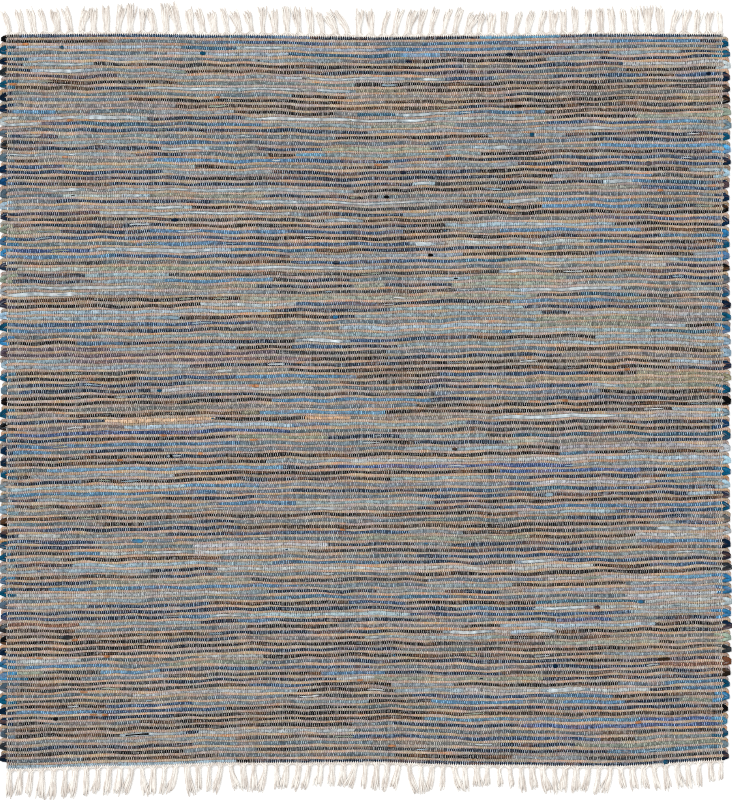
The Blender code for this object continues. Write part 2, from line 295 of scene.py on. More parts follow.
LOOSE = (
    *loose(
        Rag.PALE, (47, 242, 285, 1.1), (64, 28, 88, 1.3), (70, 37, 87, 2.6), (79, 280, 400, 1.2),
        (79, 422, 440, 1.6), (89, 145, 240, 1.5), (91, 240, 312, 1.4), (91, 318, 350, 1.3),
        (113, 400, 450, 1.8), (116, 490, 528, 2.6), (116, 82, 142, 3.0), (116, 48, 80, 1.6),
        (119, 250, 440, 1.9), (122, 2, 36, 1.8), (128, 560, 622, 1.8), (148, 166, 205, 1.5),
        (147, 490, 512, 2.6), (154, 5, 28, 1.3), (169, 695, 722, 2.0), (182, 608, 627, 2.5),
        (184, 417, 430, 3.0), (189, 48, 80, 2.0), (190, 115, 348, 1.3), (195, 127, 140, 2.5),
        (201, 258, 300, 1.3), (201, 312, 457, 1.4), (201, 508, 538, 2.2), (207, 150, 187, 2.0),
        (213, 105, 180, 2.0), (213, 180, 298, 1.2), (219, 330, 358, 1.3), (250, 95, 118, 1.8),
        (250, 120, 226, 3.2), (244, 415, 432, 3.0), (267, 215, 378, 1.8), (272, 504, 526, 2.2),
        (279, 425, 465, 1.2), (288, 0, 150, 1.9), (289, 490, 507, 1.6), (289, 525, 616, 2.0),
        (294, 5, 82, 2.8),
    ),
    *loose(Rag.SKY, (318, 155, 180, 2.2)),
    *loose(
        Rag.PALE, (324, 655, 680, 1.8), (340, 300, 345, 2.4), (385, 597, 618, 1.5), (417, 497, 620, 2.4),
        (510, 305, 346, 1.8), (553, 150, 190, 1.4), (530, 655, 700, 2.2), (561, 520, 553, 2.0),
        (606, 540, 590, 1.6), (612, 215, 245, 1.6), (632, 448, 490, 2.2), (632, 516, 555, 2.6),
        (638, 366, 380, 2.6), (692, 546, 585, 3.2), (735, 120, 160, 2.0), (734, 118, 180, 1.8),
    ),
    *loose(Rag.SKY, (497, 545, 553, 3.2)),
    *loose(Rag.BRIGHT, (541, 132, 143, 3.6)),
    *loose(Rag.TEAL, (52, 200, 206, 3.2), (46, 60, 64, 3.0)),
    *loose(Rag.SKY, (46, 99, 104, 2.6)),
    *loose(Rag.NAVY, (62, 406, 412, 3.0), (54, 506, 512, 3.2)),
    *loose(Rag.TEAL, (66, 618, 623, 2.8)),
    *loose(Rag.NAVY, (73, 706, 711, 2.8)),
    *loose(Rag.BLACK, (106, 515, 521, 2.8)),
    *loose(Rag.TEAL, (138, 530, 534, 4.2), (166, 646, 651, 4.0)),
    *loose(Rag.NAVY, (172, 401, 406, 3.0), (219, 172, 178, 3.2)),
    *loose(Rag.BLACK, (195, 384, 389, 3.0), (255, 428, 433, 3.2)),
    *loose(Rag.NAVY, (261, 333, 339, 3.2)),
    *loose(Rag.BLUE, (316, 333, 338, 3.0)),
    *loose(Rag.TEAL, (391, 157, 162, 2.8)),
    *loose(Rag.BLACK, (455, 169, 174, 3.2)),
    *loose(Rag.CHARCOAL, (448, 452, 457, 3.0)),
    *loose(Rag.NAVY, (606, 594, 600, 3.2)),
    *loose(Rag.BLUE, (600, 638, 643, 3.0)),
    *loose(Rag.NAVY, (667, 553, 557, 4.0)),
    *loose(Rag.BLACK, (719, 53, 58, 3.2)),
    *loose(Rag.TEAL, (759, 663, 668, 4.4)),
    *loose(Rag.CHARCOAL, (637, 60, 73, 3.6)),
    *loose(Rag.SAGE, (653, 471, 475, 3.0)),
    *loose(Rag.BROWN, (659, 657, 670, 3.0)),
    *loose(
        Rag.ORANGE, (101, 214, 220, 2.4), (728, 635, 641, 2.4), (47, 22, 29, 2.5), (86, 10, 17, 2.4),
        (715, 102, 108, 2.1), (123, 67, 73, 2.1), (158, 62, 68, 2.1), (166, 374, 382, 2.0),
        (161, 445, 451, 2.1), (195, 657, 663, 2.4), (191, 708, 716, 2.1), (386, 252, 259, 2.8),
        (403, 562, 568, 2.4), (370, 624, 630, 2.4), (441, 161, 167, 2.5), (455, 198, 203, 2.5),
        (445, 250, 257, 2.1), (463, 117, 123, 2.1), (530, 340, 346, 2.1), (645, 72, 78, 2.4),
        (657, 104, 110, 2.4), (664, 36, 43, 1.5), (692, 80, 88, 1.5), (716, 90, 97, 1.6),
        (683, 357, 363, 2.1), (751, 388, 396, 2.4),
    ),
)


def ease(share: np.ndarray) -> np.ndarray:
    """A half cosine from 0 to 1, level at both ends: (1 - cos(pi * share)) / 2."""
    return (1 - np.cos(np.pi * share)) / 2


def between(knots: np.ndarray, row: np.ndarray, share: np.ndarray) -> np.ndarray:
    """Reads a table of evenly spaced knots, easing from each one to the next.

    Args:
        knots: One line of knots for each row.
        row: Which line to read.
        share: Where to read it, from 0 at its first knot to 1 at its last.

    Returns:
        The eased values, in the common shape of row and share.
    """
    place = np.clip(share, 0, 1) * (knots.shape[1] - 1)
    left = np.minimum(place.astype(int), knots.shape[1] - 2)
    part = ease(place - left)
    return knots[row, left] * (1 - part) + knots[row, left + 1] * part


# ---- The cloth's layout ----------------------------------------------------------------------------


class Drift(NamedTuple):
    """How far a row lies towards the far end, in millimetres, at seven even stations from the left.

    A program fitted the cloth's table of these to the rows in the photograph.
    """

    share: float
    left: float
    left_sixth: float
    left_third: float
    middle: float
    right_third: float
    right_sixth: float
    right: float


class DrawIn(NamedTuple):
    """How far a selvedge is drawn in, in millimetres, at a share of the way to the far end.

    The cloth's table of these is rounded from places that a program measured in the photograph.
    """

    share: float
    left: float
    right: float


@dataclass
class Cloth:
    """The cloth's measures and the places of its rows and warps, which every yarn follows.

    Attributes:
        width: Along the rows, over the selvedge turns.
        length: From the first rag row to the last, before the ends drift.
        rows: How many rag rows there are. A jute row lies between each two.
        rag_share: A rag row's share of the pitch. The rest is a jute row.
        middle: Height of the cloth's middle over the floor.
        turn_band: The width beside each selvedge in which the wefts turn back.
        warp_pairs: Pairs of warps. In a pair the first passes over rags and the second over jute.
        warp_span: From the first warp to the last.
        drift: How the rows bend over the whole rug, as in the part's source.
        drawn_in: How the selvedges waver.
        long_ripple: The slow ripple's height in millimetres and its lengths across and along.
        short_ripple: Likewise for the quick one.
        row_ripple: How far each row strays by chance, in millimetres.
        ripple_fade: The share of the length over which the ripples fade out at an end.
        seed: Of the small unevenness.
        shift: How far the rug's middle lies from the frame's.
        swells: A line of factors on each row's thickness.
        wanders: How far the warps stray slowly, as shares, over the whole rug.
        clumps: How far they clump together and part, likewise.
        offsets: A line of shares by which each row strays.
    """

    width: float = 1.830
    length: float = 1.830
    rows: int = 123
    rag_share: float = 0.62
    middle: float = 3.25 * MM
    turn_band: float = 21 * MM
    warp_pairs: int = 334
    warp_span: float = 1.794
    drift: tuple[Drift, ...] = (
        Drift(0.00, -10, -2, 6, 7, 0, -3, 12),
        Drift(0.06, -7, -3, 6, 10, 6, 5, 11),
        Drift(0.12, -13, -9, 1, 4, 2, 6, 12),
        Drift(0.20, -13, -9, -1, 2, 1, 4, 10),
        Drift(0.28, -13, -10, -5, -3, -4, 3, 8),
        Drift(0.35, -15, -12, -5, -3, 0, 5, 9),
        Drift(0.43, -16, -8, -4, -3, -1, 4, 7),
        Drift(0.50, -12, -8, 0, 0, 3, 7, 6),
        Drift(0.58, -8, -7, -2, 0, 9, 11, 6),
        Drift(0.66, -4, -1, 1, 3, 8, 11, 10),
        Drift(0.75, 4, 6, 5, 1, 6, 9, 8),
        Drift(0.82, 2, 3, 2, 1, 7, 12, 10),
        Drift(0.90, 6, 6, 4, -2, 3, 9, 12),
        Drift(0.96, 5, 5, 1, -3, -1, 6, 11),
        Drift(1.00, 1, 3, 0, -5, -2, 3, 2),
    )
    drawn_in: tuple[DrawIn, ...] = (
        DrawIn(0.00, 0.0, 5.5), DrawIn(0.05, 0.0, 5.5), DrawIn(0.11, 0.0, 0.5), DrawIn(0.18, 0.0, -2.2),
        DrawIn(0.25, 0.6, -2.0), DrawIn(0.31, 0.0, -1.0), DrawIn(0.38, 0.0, 0.8), DrawIn(0.45, 0.4, 0.8),
        DrawIn(0.51, 3.6, 0.2), DrawIn(0.57, 0.6, -2.2), DrawIn(0.63, 0.0, 2.2), DrawIn(0.70, 0.0, 2.6),
        DrawIn(0.77, 0.6, 2.8), DrawIn(0.83, 0.4, -1.2), DrawIn(0.90, 0.0, 1.4), DrawIn(0.97, 1.8, 2.6),
        DrawIn(1.00, 3.5, 4.0),
    )
    long_ripple: tuple[float, float, float] = (1.2, 0.31, 0.45)
    short_ripple: tuple[float, float, float] = (0.9, 0.127, 0.21)
    row_ripple: float = 1.6
    ripple_fade: float = 0.03
    seed: int = 7
    shift: float = field(init=False)
    swells: np.ndarray = field(init=False)
    wanders: np.ndarray = field(init=False)
    clumps: np.ndarray = field(init=False)
    offsets: np.ndarray = field(init=False)

    def __post_init__(self) -> None:
        """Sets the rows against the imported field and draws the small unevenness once."""
        draw = np.random.default_rng(self.seed)
        lowest = min(self.drift[0][1:]) * MM - self.length / 2  # where the nearest row's nearest point lies
        self.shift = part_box("woven_field")[0].y - lowest
        self.swells = draw.uniform(0.68, 1.32, (self.rows, 46))
        self.wanders = draw.uniform(-1, 1, (25, 18))
        self.clumps = draw.uniform(-1, 1, (61, 150))
        self.offsets = draw.uniform(-1, 1, (self.rows, 44))

    @property
    def pitch(self) -> float:
        """From one rag row to the next."""
        return self.length / (self.rows - 1 + self.rag_share)

    @property
    def warp_pitch(self) -> float:
        """From one pair of warps to the next."""
        return self.warp_span / self.warp_pairs

    def across(self, x: np.ndarray) -> np.ndarray:
        """Where x lies between the selvedges, from 0 at the left to 1 at the right."""
        return np.clip(x / self.width + 0.5, 0, 1)

    def line(self, x: np.ndarray, even: np.ndarray) -> np.ndarray:
        """The y at which a line of the cloth crosses x.

        The even place moves by the drift table, eased between its stations and straight between its
        rows, and by a ripple that fades out at both ends of the rug: a sine of x that a sine of the
        even place pushes to and fro, a sine that runs aslant, and an eased chance value for each row.

        Args:
            x: Where along the rows.
            even: The line's distance from the near end if the rows were straight.

        Returns:
            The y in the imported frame.
        """
        x, even = np.broadcast_arrays(np.asarray(x, float), np.asarray(even, float))
        share = np.clip(even / self.length, 0, 1)
        shares, *columns = np.array(self.drift).T
        stations = np.stack([np.interp(share, shares, column) for column in columns], axis=-1) * MM
        place = self.across(x) * (stations.shape[-1] - 1)
        left = np.minimum(place.astype(int), stations.shape[-1] - 2)
        part = ease(place - left)
        here = np.take_along_axis(stations, left[..., None], -1)[..., 0]
        there = np.take_along_axis(stations, left[..., None] + 1, -1)[..., 0]
        fade = np.clip(np.minimum(share, 1 - share) / self.ripple_fade, 0, 1)
        height, across, along = self.long_ripple
        ripple = height * np.sin(2 * np.pi * (x / across + np.sin(2 * np.pi * even / along)))
        height, across, along = self.short_ripple
        ripple = ripple + height * np.sin(2 * np.pi * (x / across + even / along) + 1)
        y = even - self.length / 2
        ripple = ripple + self.row_ripple * self.eased(self.offsets, x, y)
        return y + self.shift + here * (1 - part) + there * part + ripple * MM * fade

    def waver(self, side: np.ndarray, even: np.ndarray) -> np.ndarray:
        """How far in the selvedge lies, in millimetres, beside a row that ends at side."""
        share, left, right = np.array(self.drawn_in).T
        place = even / self.length
        return np.where(side > 0, np.interp(place, share, right), np.interp(place, share, left))

    def rag_middle(self, row: np.ndarray) -> np.ndarray:
        """The even place of a rag row's middle."""
        return (row + self.rag_share / 2) * self.pitch

    def jute_middle(self, row: np.ndarray) -> np.ndarray:
        """The even place of the middle of the jute row that follows a rag row."""
        return (row + (1 + self.rag_share) / 2) * self.pitch

    def swell(self, row: np.ndarray, x: np.ndarray) -> np.ndarray:
        """How thick a rag row is at x, as a factor near 1."""
        return between(self.swells, np.clip(row, 0, self.rows - 1), self.across(x))

    def wander(self, x: np.ndarray, y: np.ndarray) -> np.ndarray:
        """How far a warp lies to the right of its even place.

        It is a slow eased value over x and y, up to 1.5 mm, and a quick one, up to 0.8 mm, by which
        neighbours clump together and part.
        """
        return (self.eased(self.wanders, x, y) * 1.5 + self.eased(self.clumps, x, y) * 0.8) * MM

    def eased(self, knots: np.ndarray, x: np.ndarray, y: np.ndarray) -> np.ndarray:
        """Reads a table of knots spread evenly over the rug, easing from each one to the next."""
        down = np.clip(y / self.length + 0.5, 0, 1) * (knots.shape[0] - 1)
        near = np.minimum(down.astype(int), knots.shape[0] - 2)
        part = ease(down - near)
        low = between(knots, near, self.across(x))
        high = between(knots, near + 1, self.across(x))
        return low * (1 - part) + high * part

    def warp_phase(self, x: np.ndarray, y: np.ndarray) -> np.ndarray:
        """Counts warp pairs from the rug's middle, whole halfway between each two pairs."""
        return (x - self.wander(x, y)) / self.warp_pitch

    def row_at(self, x: float, y: float) -> int:
        """The rag row whose middle passes nearest to a point."""
        rows = np.arange(self.rows)
        return int(np.argmin(np.abs(self.line(x, self.rag_middle(rows)) - y)))

    def from_photo(self, right: float, down: float) -> tuple[float, float]:
        """Where a pixel of the photograph lies on the rug."""
        return (right - PHOTO_MIDDLE[0]) * PIXEL, (PHOTO_MIDDLE[1] - down) * PIXEL + self.shift

    def photo_down(self, y: float) -> float:
        """The pixel row of the photograph in which y lies."""
        return PHOTO_MIDDLE[1] - (y - self.shift) / PIXEL


# ---- Meshes ----------------------------------------------------------------------------------------


@dataclass
class Skein:
    """Closed yarns side by side: rings of points, joined in order along each yarn, and capped.

    Attributes:
        rings: The rings' points, in shape (rings, sides, 3), anticlockwise seen against the yarn's run.
        yarn: Which yarn each ring belongs to. A yarn's rings stand together.
        along: How far along its yarn each ring lies, in metres.
        strip: The strip of the bake map that each ring's faces lie in.
        colours: Each ring's colour, or nothing.
        values: Named numbers, one for each ring.
        point_values: Named numbers, one for each point.
    """

    rings: np.ndarray
    yarn: np.ndarray
    along: np.ndarray
    strip: np.ndarray
    colours: np.ndarray | None = None
    values: dict[str, np.ndarray] = field(default_factory=dict)
    point_values: dict[str, np.ndarray] = field(default_factory=dict)

    def quads(self) -> tuple[np.ndarray, np.ndarray]:
        """The faces between joined rings, and for each face its first ring and its side."""
        sides = self.rings.shape[1]
        first = np.nonzero(self.yarn[1:] == self.yarn[:-1])[0]
        ring, side = (grid.ravel() for grid in np.meshgrid(first, np.arange(sides), indexing="ij"))
        low, high = ring * sides, (ring + 1) * sides
        after = (side + 1) % sides
        return np.stack([low + side, low + after, high + after, high + side], axis=1), np.stack([ring, side])

    def caps(self) -> np.ndarray:
        """One face over each yarn's first ring and one over its last, both looking outwards."""
        sides = self.rings.shape[1]
        starts = np.nonzero(np.r_[True, self.yarn[1:] != self.yarn[:-1]])[0]
        ends = np.nonzero(np.r_[self.yarn[1:] != self.yarn[:-1], True])[0]
        order = np.arange(sides)
        return np.concatenate([starts[:, None] * sides + order[::-1], ends[:, None] * sides + order])

    def strip_places(self, spots: np.ndarray, caps: int) -> np.ndarray:
        """Every corner's place on the bake map.

        Each strip is a band across the map with a cell for every ring in it, and the sides lie one over
        the other in the cell. The caps are small polygons in rows along the map's upper edge.
        """
        sides = self.rings.shape[1]
        order = np.zeros(len(self.strip), int)
        ranks = np.argsort(self.strip, kind="stable")
        sorted_strips = self.strip[ranks]
        starts = np.r_[0, np.nonzero(np.diff(sorted_strips))[0] + 1]
        order[ranks] = np.arange(len(ranks)) - np.repeat(starts, np.diff(np.r_[starts, len(ranks)]))
        columns = order.max() + 1
        strips = self.strip.max() + 1
        ring, side = spots
        left = order[ring] / columns
        right = left + 1 / columns
        low = (self.strip[ring] + STRIP_MARGIN + STRIP_FILL * side / sides) / strips * (1 - CAP_SHARE)
        high = low + STRIP_FILL / sides / strips * (1 - CAP_SHARE)
        line_height = CAP_SHARE / (caps // CAPS_A_LINE + 1)
        cap = np.arange(caps)[:, None]
        angle = 2 * np.pi * np.arange(sides) / sides
        cap_u = (cap % CAPS_A_LINE + 0.5 + 0.4 * np.cos(angle)) / CAPS_A_LINE
        cap_v = 1 - CAP_SHARE + (cap // CAPS_A_LINE + 0.5 + 0.3 * np.sin(angle)) * line_height
        cap_map = np.stack([cap_u, cap_v], axis=-1).reshape(-1, 2)
        return np.concatenate([corner_places(left, right, low, high), cap_map])

    def mesh(self, name: str) -> bpy.types.Mesh:
        """Makes the smooth mesh with its maps and attributes."""
        sides = self.rings.shape[1]
        quads, spots = self.quads()
        caps = self.caps()
        made = bpy.data.meshes.new(name)
        made.from_pydata(self.rings.reshape(-1, 3).tolist(), [], quads.tolist() + caps.tolist())
        made.polygons.foreach_set("use_smooth", np.ones(len(made.polygons), bool))
        girth = np.linalg.norm(np.diff(self.rings, axis=1), axis=2).sum(1) / (sides - 1)
        ring, side = spots
        low, high = side * girth[ring], (side + 1) * girth[ring]
        quad_map = corner_places(self.along[ring], self.along[ring + 1], low, high)
        cap_rings = caps[:, 0] // sides
        cap_map = np.stack([np.repeat(self.along[cap_rings], sides), (caps % sides).ravel() * MM], axis=1)
        add_map(made, ALONG_MAP, np.concatenate([quad_map, cap_map]))
        add_map(made, BAKE_MAP, self.strip_places(spots, len(caps)))
        if self.colours is not None:
            add_colours(made, "cloth_colour", np.repeat(self.colours, sides, axis=0))
        for key, numbers in self.values.items():
            add_numbers(made, key, np.repeat(numbers, sides))
        for key, numbers in self.point_values.items():
            add_numbers(made, key, numbers)
        return made


def corner_places(left: np.ndarray, right: np.ndarray, low: np.ndarray, high: np.ndarray) -> np.ndarray:
    """The four corners of upright rectangles on a map, up the left side and down the right one.

    Args:
        left: Where each rectangle begins.
        right: Where it ends.
        low: Its lower edge.
        high: Its upper edge.

    Returns:
        One place for every corner, rectangle by rectangle.
    """
    corners = ((left, low), (left, high), (right, high), (right, low))
    return np.stack([np.stack(corner, axis=-1) for corner in corners], axis=-2).reshape(-1, 2)


def add_map(mesh: bpy.types.Mesh, name: str, places: np.ndarray) -> None:
    """Gives the mesh a map with a place for every corner."""
    mesh.uv_layers.new(name=name).uv.foreach_set("vector", places.astype(np.float32).ravel())


def add_colours(mesh: bpy.types.Mesh, name: str, colours: np.ndarray) -> None:
    """Gives the mesh a colour for every point."""
    full = np.concatenate([colours, np.ones((len(colours), 1))], axis=1).astype(np.float32)
    mesh.attributes.new(name, "FLOAT_COLOR", "POINT").data.foreach_set("color", full.ravel())


def add_numbers(mesh: bpy.types.Mesh, name: str, numbers: np.ndarray) -> None:
    """Gives the mesh a number for every point."""
    mesh.attributes.new(name, "FLOAT", "POINT").data.foreach_set("value", numbers.astype(np.float32))


def piece(mesh: bpy.types.Mesh, material: bpy.types.Material) -> bpy.types.Object:
    """Links an object for the mesh at the origin, on the rug's only body."""
    mesh.materials.append(material)
    made = bpy.data.objects.new(mesh.name, mesh)
    bpy.context.scene.collection.objects.link(made)
    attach(made, "root")
    LOG.info("%s: %d triangles", mesh.name, sum(len(face.vertices) - 2 for face in mesh.polygons))
    return made


# ---- Shader building -------------------------------------------------------------------------------


class Value:
    """A shader socket that takes part in sums: an expression on values adds its Math nodes."""

    def __init__(self, tree: "Tree", socket: bpy.types.NodeSocket) -> None:
        """Wraps one output of a node in the tree."""
        self.tree = tree
        self.socket = socket

    def _math(self, operation: str, *terms: "Value | float") -> "Value":
        """Adds one Math node on these terms."""
        return self.tree.node("ShaderNodeMath", {"operation": operation}, dict(enumerate(terms)))

    def __add__(self, other: "Value | float") -> "Value":
        """This plus other."""
        return self._math("ADD", self, other)

    def __sub__(self, other: "Value | float") -> "Value":
        """This less other."""
        return self._math("SUBTRACT", self, other)

    def __rsub__(self, other: float) -> "Value":
        """Other less this."""
        return self._math("SUBTRACT", other, self)

    def __mul__(self, other: "Value | float") -> "Value":
        """This times other."""
        return self._math("MULTIPLY", self, other)

    __radd__ = __add__
    __rmul__ = __mul__

    def sine(self) -> "Value":
        """The sine of this."""
        return self._math("SINE", self)

    def size(self) -> "Value":
        """This without its sign."""
        return self._math("ABSOLUTE", self)

    def step(self, low: float, high: float) -> "Value":
        """Rises smoothly from 0 at low to 1 at high."""
        settings = {"interpolation_type": "SMOOTHSTEP"}
        return self.tree.node("ShaderNodeMapRange", settings, {0: self, 1: low, 2: high})


class Tree:
    """A cloth material in the making: a matt shader and the nodes that feed it."""

    def __init__(self, name: str, roughness: float) -> None:
        """Makes the material with nothing but its shader."""
        self.material = bpy.data.materials.new(name)
        self.material.use_nodes = True
        self.nodes = self.material.node_tree.nodes
        self.links = self.material.node_tree.links
        self.shader = self.nodes["Principled BSDF"]
        self.shader.inputs["Roughness"].default_value = roughness
        self.shader.inputs["Specular IOR Level"].default_value = CLOTH_SPECULAR

    def node(self, kind: str, settings: dict | None = None, sockets: dict | None = None,
             output: int | str = 0) -> Value:
        """Adds a node.

        Args:
            kind: The node's type.
            settings: Its properties, which are set first.
            sockets: Its inputs by name or number, each a plain value or a Value to link.
            output: Which of its outputs to return.

        Returns:
            The chosen output.
        """
        made = self.nodes.new(kind)
        for key, setting in (settings or {}).items():
            setattr(made, key, setting)
        for key, given in (sockets or {}).items():
            if isinstance(given, Value):
                self.links.new(given.socket, made.inputs[key])
            else:
                made.inputs[key].default_value = given
        return Value(self, made.outputs[output])

    def attribute(self, name: str, output: str = "Fac") -> Value:
        """Reads one of the mesh's attributes."""
        return self.node("ShaderNodeAttribute", {"attribute_name": name}, output=output)

    def run(self) -> tuple[Value, Value]:
        """The way along the yarn and round it, in metres."""
        places = self.node("ShaderNodeUVMap", {"uv_map": ALONG_MAP})
        return (self.node("ShaderNodeSeparateXYZ", None, {0: places}, "X"),
                self.node("ShaderNodeSeparateXYZ", None, {0: places}, "Y"))

    def pinch(self) -> Value:
        """How near the weft is to the middle of a pair of warps: 1 there, 0 halfway between two pairs."""
        return (self.attribute("warp_phase") * math.pi).sine().size()

    def noise(self, x: Value | float, y: Value | float, z: Value | float, detail: float = 2.0) -> Value:
        """A soft noise near 0.5 whose lumps are about one unit of x, y and z across."""
        sockets = {"Vector": self.node("ShaderNodeCombineXYZ", None, {0: x, 1: y, 2: z})}
        return self.node("ShaderNodeTexNoise", None, {**sockets, "Scale": 1.0, "Detail": detail}, "Fac")

    def stain(self, across: float, seed: float, detail: float = 2.0) -> Value:
        """A noise over the cloth that changes from row to row and is the same for every yarn.

        Args:
            across: How many lumps there are to a metre along a row.
            seed: Which of the noises. It is never whole, because a noise is flat there.
            detail: How fine it is.

        Returns:
            A value near 0.5.
        """
        place = self.node("ShaderNodeTexCoord", output="Object")
        x = self.node("ShaderNodeSeparateXYZ", None, {0: place}, "X")
        y = self.node("ShaderNodeSeparateXYZ", None, {0: place}, "Y")
        return self.noise(x * across, y * ROWS_A_METRE, seed, detail)

    def tan(self, grey: tuple, tan: tuple, rusty: tuple, most: float) -> Value:
        """The colour of the jute over the cloth: grey to tan, with rusty lengths and bluish ones.

        Args:
            grey: Where it is bleached.
            tan: Where it is not.
            rusty: In the rusty lengths.
            most: The share of rust in them.

        Returns:
            The colour.
        """
        hue = self.stain(24, 0.5, 3.0) * 0.6 + self.stain(4, 4.5) * 0.5
        rust = self.stain(34, 8.5, 3.0) * 0.55 + self.stain(5, 14.5) * 0.5
        base = self.blend(hue.step(0.42, 0.68), grey, tan)
        base = self.blend(rust.step(0.57, 0.72) * most, base, rusty)
        blued = self.stain(16, 61.5, 3.0).step(0.56, 0.70)
        base = self.blend(blued * 0.5, base, screen(146, 154, 164))
        cast = self.stain(30, 51.5).step(0.36, 0.64)
        cast = self.blend(cast, screen(255, 245, 251), screen(246, 254, 243))
        base = self.blend(1.0, base, cast, "MULTIPLY")
        return self.tinted(base, self.stain(3.5, 41.5).step(0.30, 0.70) * 0.46 + 0.77)

    def blend(self, share: Value | float, one: Value | tuple, other: Value | tuple,
              mode: str = "MIX") -> Value:
        """Mixes two colours. A share of 0 is all the first."""
        settings = {"data_type": "RGBA", "blend_type": mode}
        return self.node("ShaderNodeMix", settings, {0: share, 6: one, 7: other}, 2)

    def tinted(self, colour: Value, strength: Value) -> Value:
        """A colour made darker or lighter by a factor."""
        return self.node("ShaderNodeVectorMath", {"operation": "SCALE"}, {0: colour, "Scale": strength})

    def wear(self, colour: Value, height: Value) -> bpy.types.Material:
        """Gives the shader its colour, and a bump whose height is in millimetres."""
        self.links.new(colour.socket, self.shader.inputs["Base Color"])
        bump = self.node("ShaderNodeBump", None, {"Strength": 1.0, "Distance": MM, "Height": height})
        self.links.new(bump.socket, self.shader.inputs["Normal"])
        return self.material


@dataclass(frozen=True)
class Finish:
    """A cloth material's name and its measures."""

    name: str
    roughness: float = 0.9

    def dress(self) -> bpy.types.Material:
        """Makes the material."""
        raise NotImplementedError


@dataclass(frozen=True)
class RagFinish(Finish):
    """Washed denim strips, crumpled lengthwise, with twill lines, pale worn folds and flecks."""

    name: str = "washed_denim_rag"

    def dress(self) -> bpy.types.Material:
        """Makes the material."""
        tree = Tree(self.name, self.roughness)
        u, v = tree.run()
        seed = tree.attribute("cloth_seed") * SEED_SPREAD
        fold = tree.noise(u * 34, v * 420, seed)
        fine = tree.noise(u * 240, v * 900, seed)
        patch = tree.noise(u * 70, v * 60, seed + 3, 3.0)
        worn = tree.noise(u * 26, v * 300, seed + 9).step(0.58, 0.72)
        twill = ((u * 5200) + (v * 4300)).sine()
        # Painted shade, in part: the fold term makes the rag darker in its folds' hollows and lighter on
        # their ridges, as the bump raises them; the patch, fine and twill terms are the cloth's own
        # mottling, flecks and twill lines.
        shade = fold * 0.75 + patch * 1.60 + fine * 0.36 + twill * 0.04 - 0.56
        cloth = tree.tinted(tree.attribute("cloth_colour", "Color"), shade)
        cloth = tree.blend(tree.stain(14, 31.5).step(0.52, 0.70) * 0.14, cloth, WARM)
        faded = tree.blend(0.20, cloth, screen(196, 206, 214))
        pinch = tree.pinch()
        colour = tree.blend(worn, cloth, faded)
        return tree.wear(colour, fold * 1.1 + fine * 0.25 + twill * 0.04 + pinch * 0.7)


@dataclass(frozen=True)
class JuteFinish(Finish):
    """Coarse tan jute, mottled cream to rusty along the yarn, with hard fibres."""

    name: str = "coarse_jute"
    roughness: float = 0.95

    def dress(self) -> bpy.types.Material:
        """Makes the material."""
        tree = Tree(self.name, self.roughness)
        u, v = tree.run()
        seed = tree.attribute("cloth_seed") * SEED_SPREAD
        fibre = tree.noise(u * 260, v * 1400, seed)
        twist = (u * 1500 + v * 900).sine()
        warp_crease_shade = tree.pinch()
        base = tree.tan(screen(164, 152, 148), screen(198, 164, 132), screen(208, 142, 88), 0.8)
        base = tree.blend(tree.stain(40, 11.5).step(0.50, 0.72) * 0.55, base, screen(218, 206, 194))
        # Painted shade: the crease term darkens the jute halfway between two pairs of warps, as in creases
        # that the warps press in, and the twist term darkens the grooves of its twist.
        shade = 0.30 + fibre * 0.62 + twist * 0.05 + warp_crease_shade * 0.24 + tree.attribute("cloth_tone") * 0.10
        return tree.wear(tree.tinted(base, shade), fibre * 0.5 + twist * 0.25)


@dataclass(frozen=True, kw_only=True)
class CottonFinish(Finish):
    """Plied cotton warp yarn, off-white, soiled in the cloth and clean in the fringe.

    Attributes:
        clean: The yarn's own colour.
        soiled: What it has rubbed off from the rags.
        shading: How far its plies, fuzz and tone darken it; the plies' part is painted shade in their
            grooves.
        relief: How far its plies and fuzz are raised.
        patches: How many soiled patches there are to a metre.
        dyed: Whether it has taken on the colours of the rags that it crosses.
        jute: How far it has taken on the jute's colour.
    """

    clean: tuple[float, float, float]
    soiled: tuple[float, float, float]
    shading: float = 0.24
    relief: float = 1.0
    patches: float = 110.0
    dyed: bool = False
    jute: float = 0.0

    def dress(self) -> bpy.types.Material:
        """Makes the material."""
        tree = Tree(self.name, self.roughness)
        u, v = tree.run()
        tone = tree.attribute("cloth_tone")
        rubbed = tree.noise(u * self.patches, v * 20, tone * 30)
        plies = (u * 2600 + v * 2400).sine()
        fuzz = tree.noise(u * 500, v * 1500, tone * 30)
        base = tree.blend(rubbed.step(0.38, 0.62), screen(*self.clean), screen(*self.soiled))
        if self.dyed:
            base = tree.blend(1.0, base, tree.attribute("cloth_colour", "Color"), "MULTIPLY")
            base = tree.blend(tree.stain(14, 31.5).step(0.52, 0.70) * 0.22, base, WARM)
            base = tree.tinted(base, tree.stain(115, 71.5, 3.0).step(0.36, 0.64) * 0.42 + 0.79)
        if self.jute:
            tan = tree.tan(screen(186, 180, 176), screen(208, 182, 154), screen(220, 164, 116), 0.7)
            base = tree.blend(self.jute, base, tan)
        # Painted shade: the plies term darkens the yarn in the grooves between its plies, as its bump lowers
        # them; the fuzz and tone terms are its own mottling.
        shade = 0.95 - self.shading * (0.5 - plies * 0.25 - fuzz * 0.5 - tone * 0.45)
        return tree.wear(tree.tinted(base, shade), (plies * 0.22 + fuzz * 0.12) * self.relief)


# ---- Wefts -----------------------------------------------------------------------------------------


class TurnPoint(NamedTuple):
    """A point of a selvedge turn.

    Its inset is how far in from the selvedge it lies in millimetres, its climb how far on to the next
    row as a share of the pitch, and its level the height of its middle in millimetres. Its girth and
    its depth are factors on the weft's half width and half height.
    """

    inset: float
    climb: float
    level: float
    girth: float
    depth: float


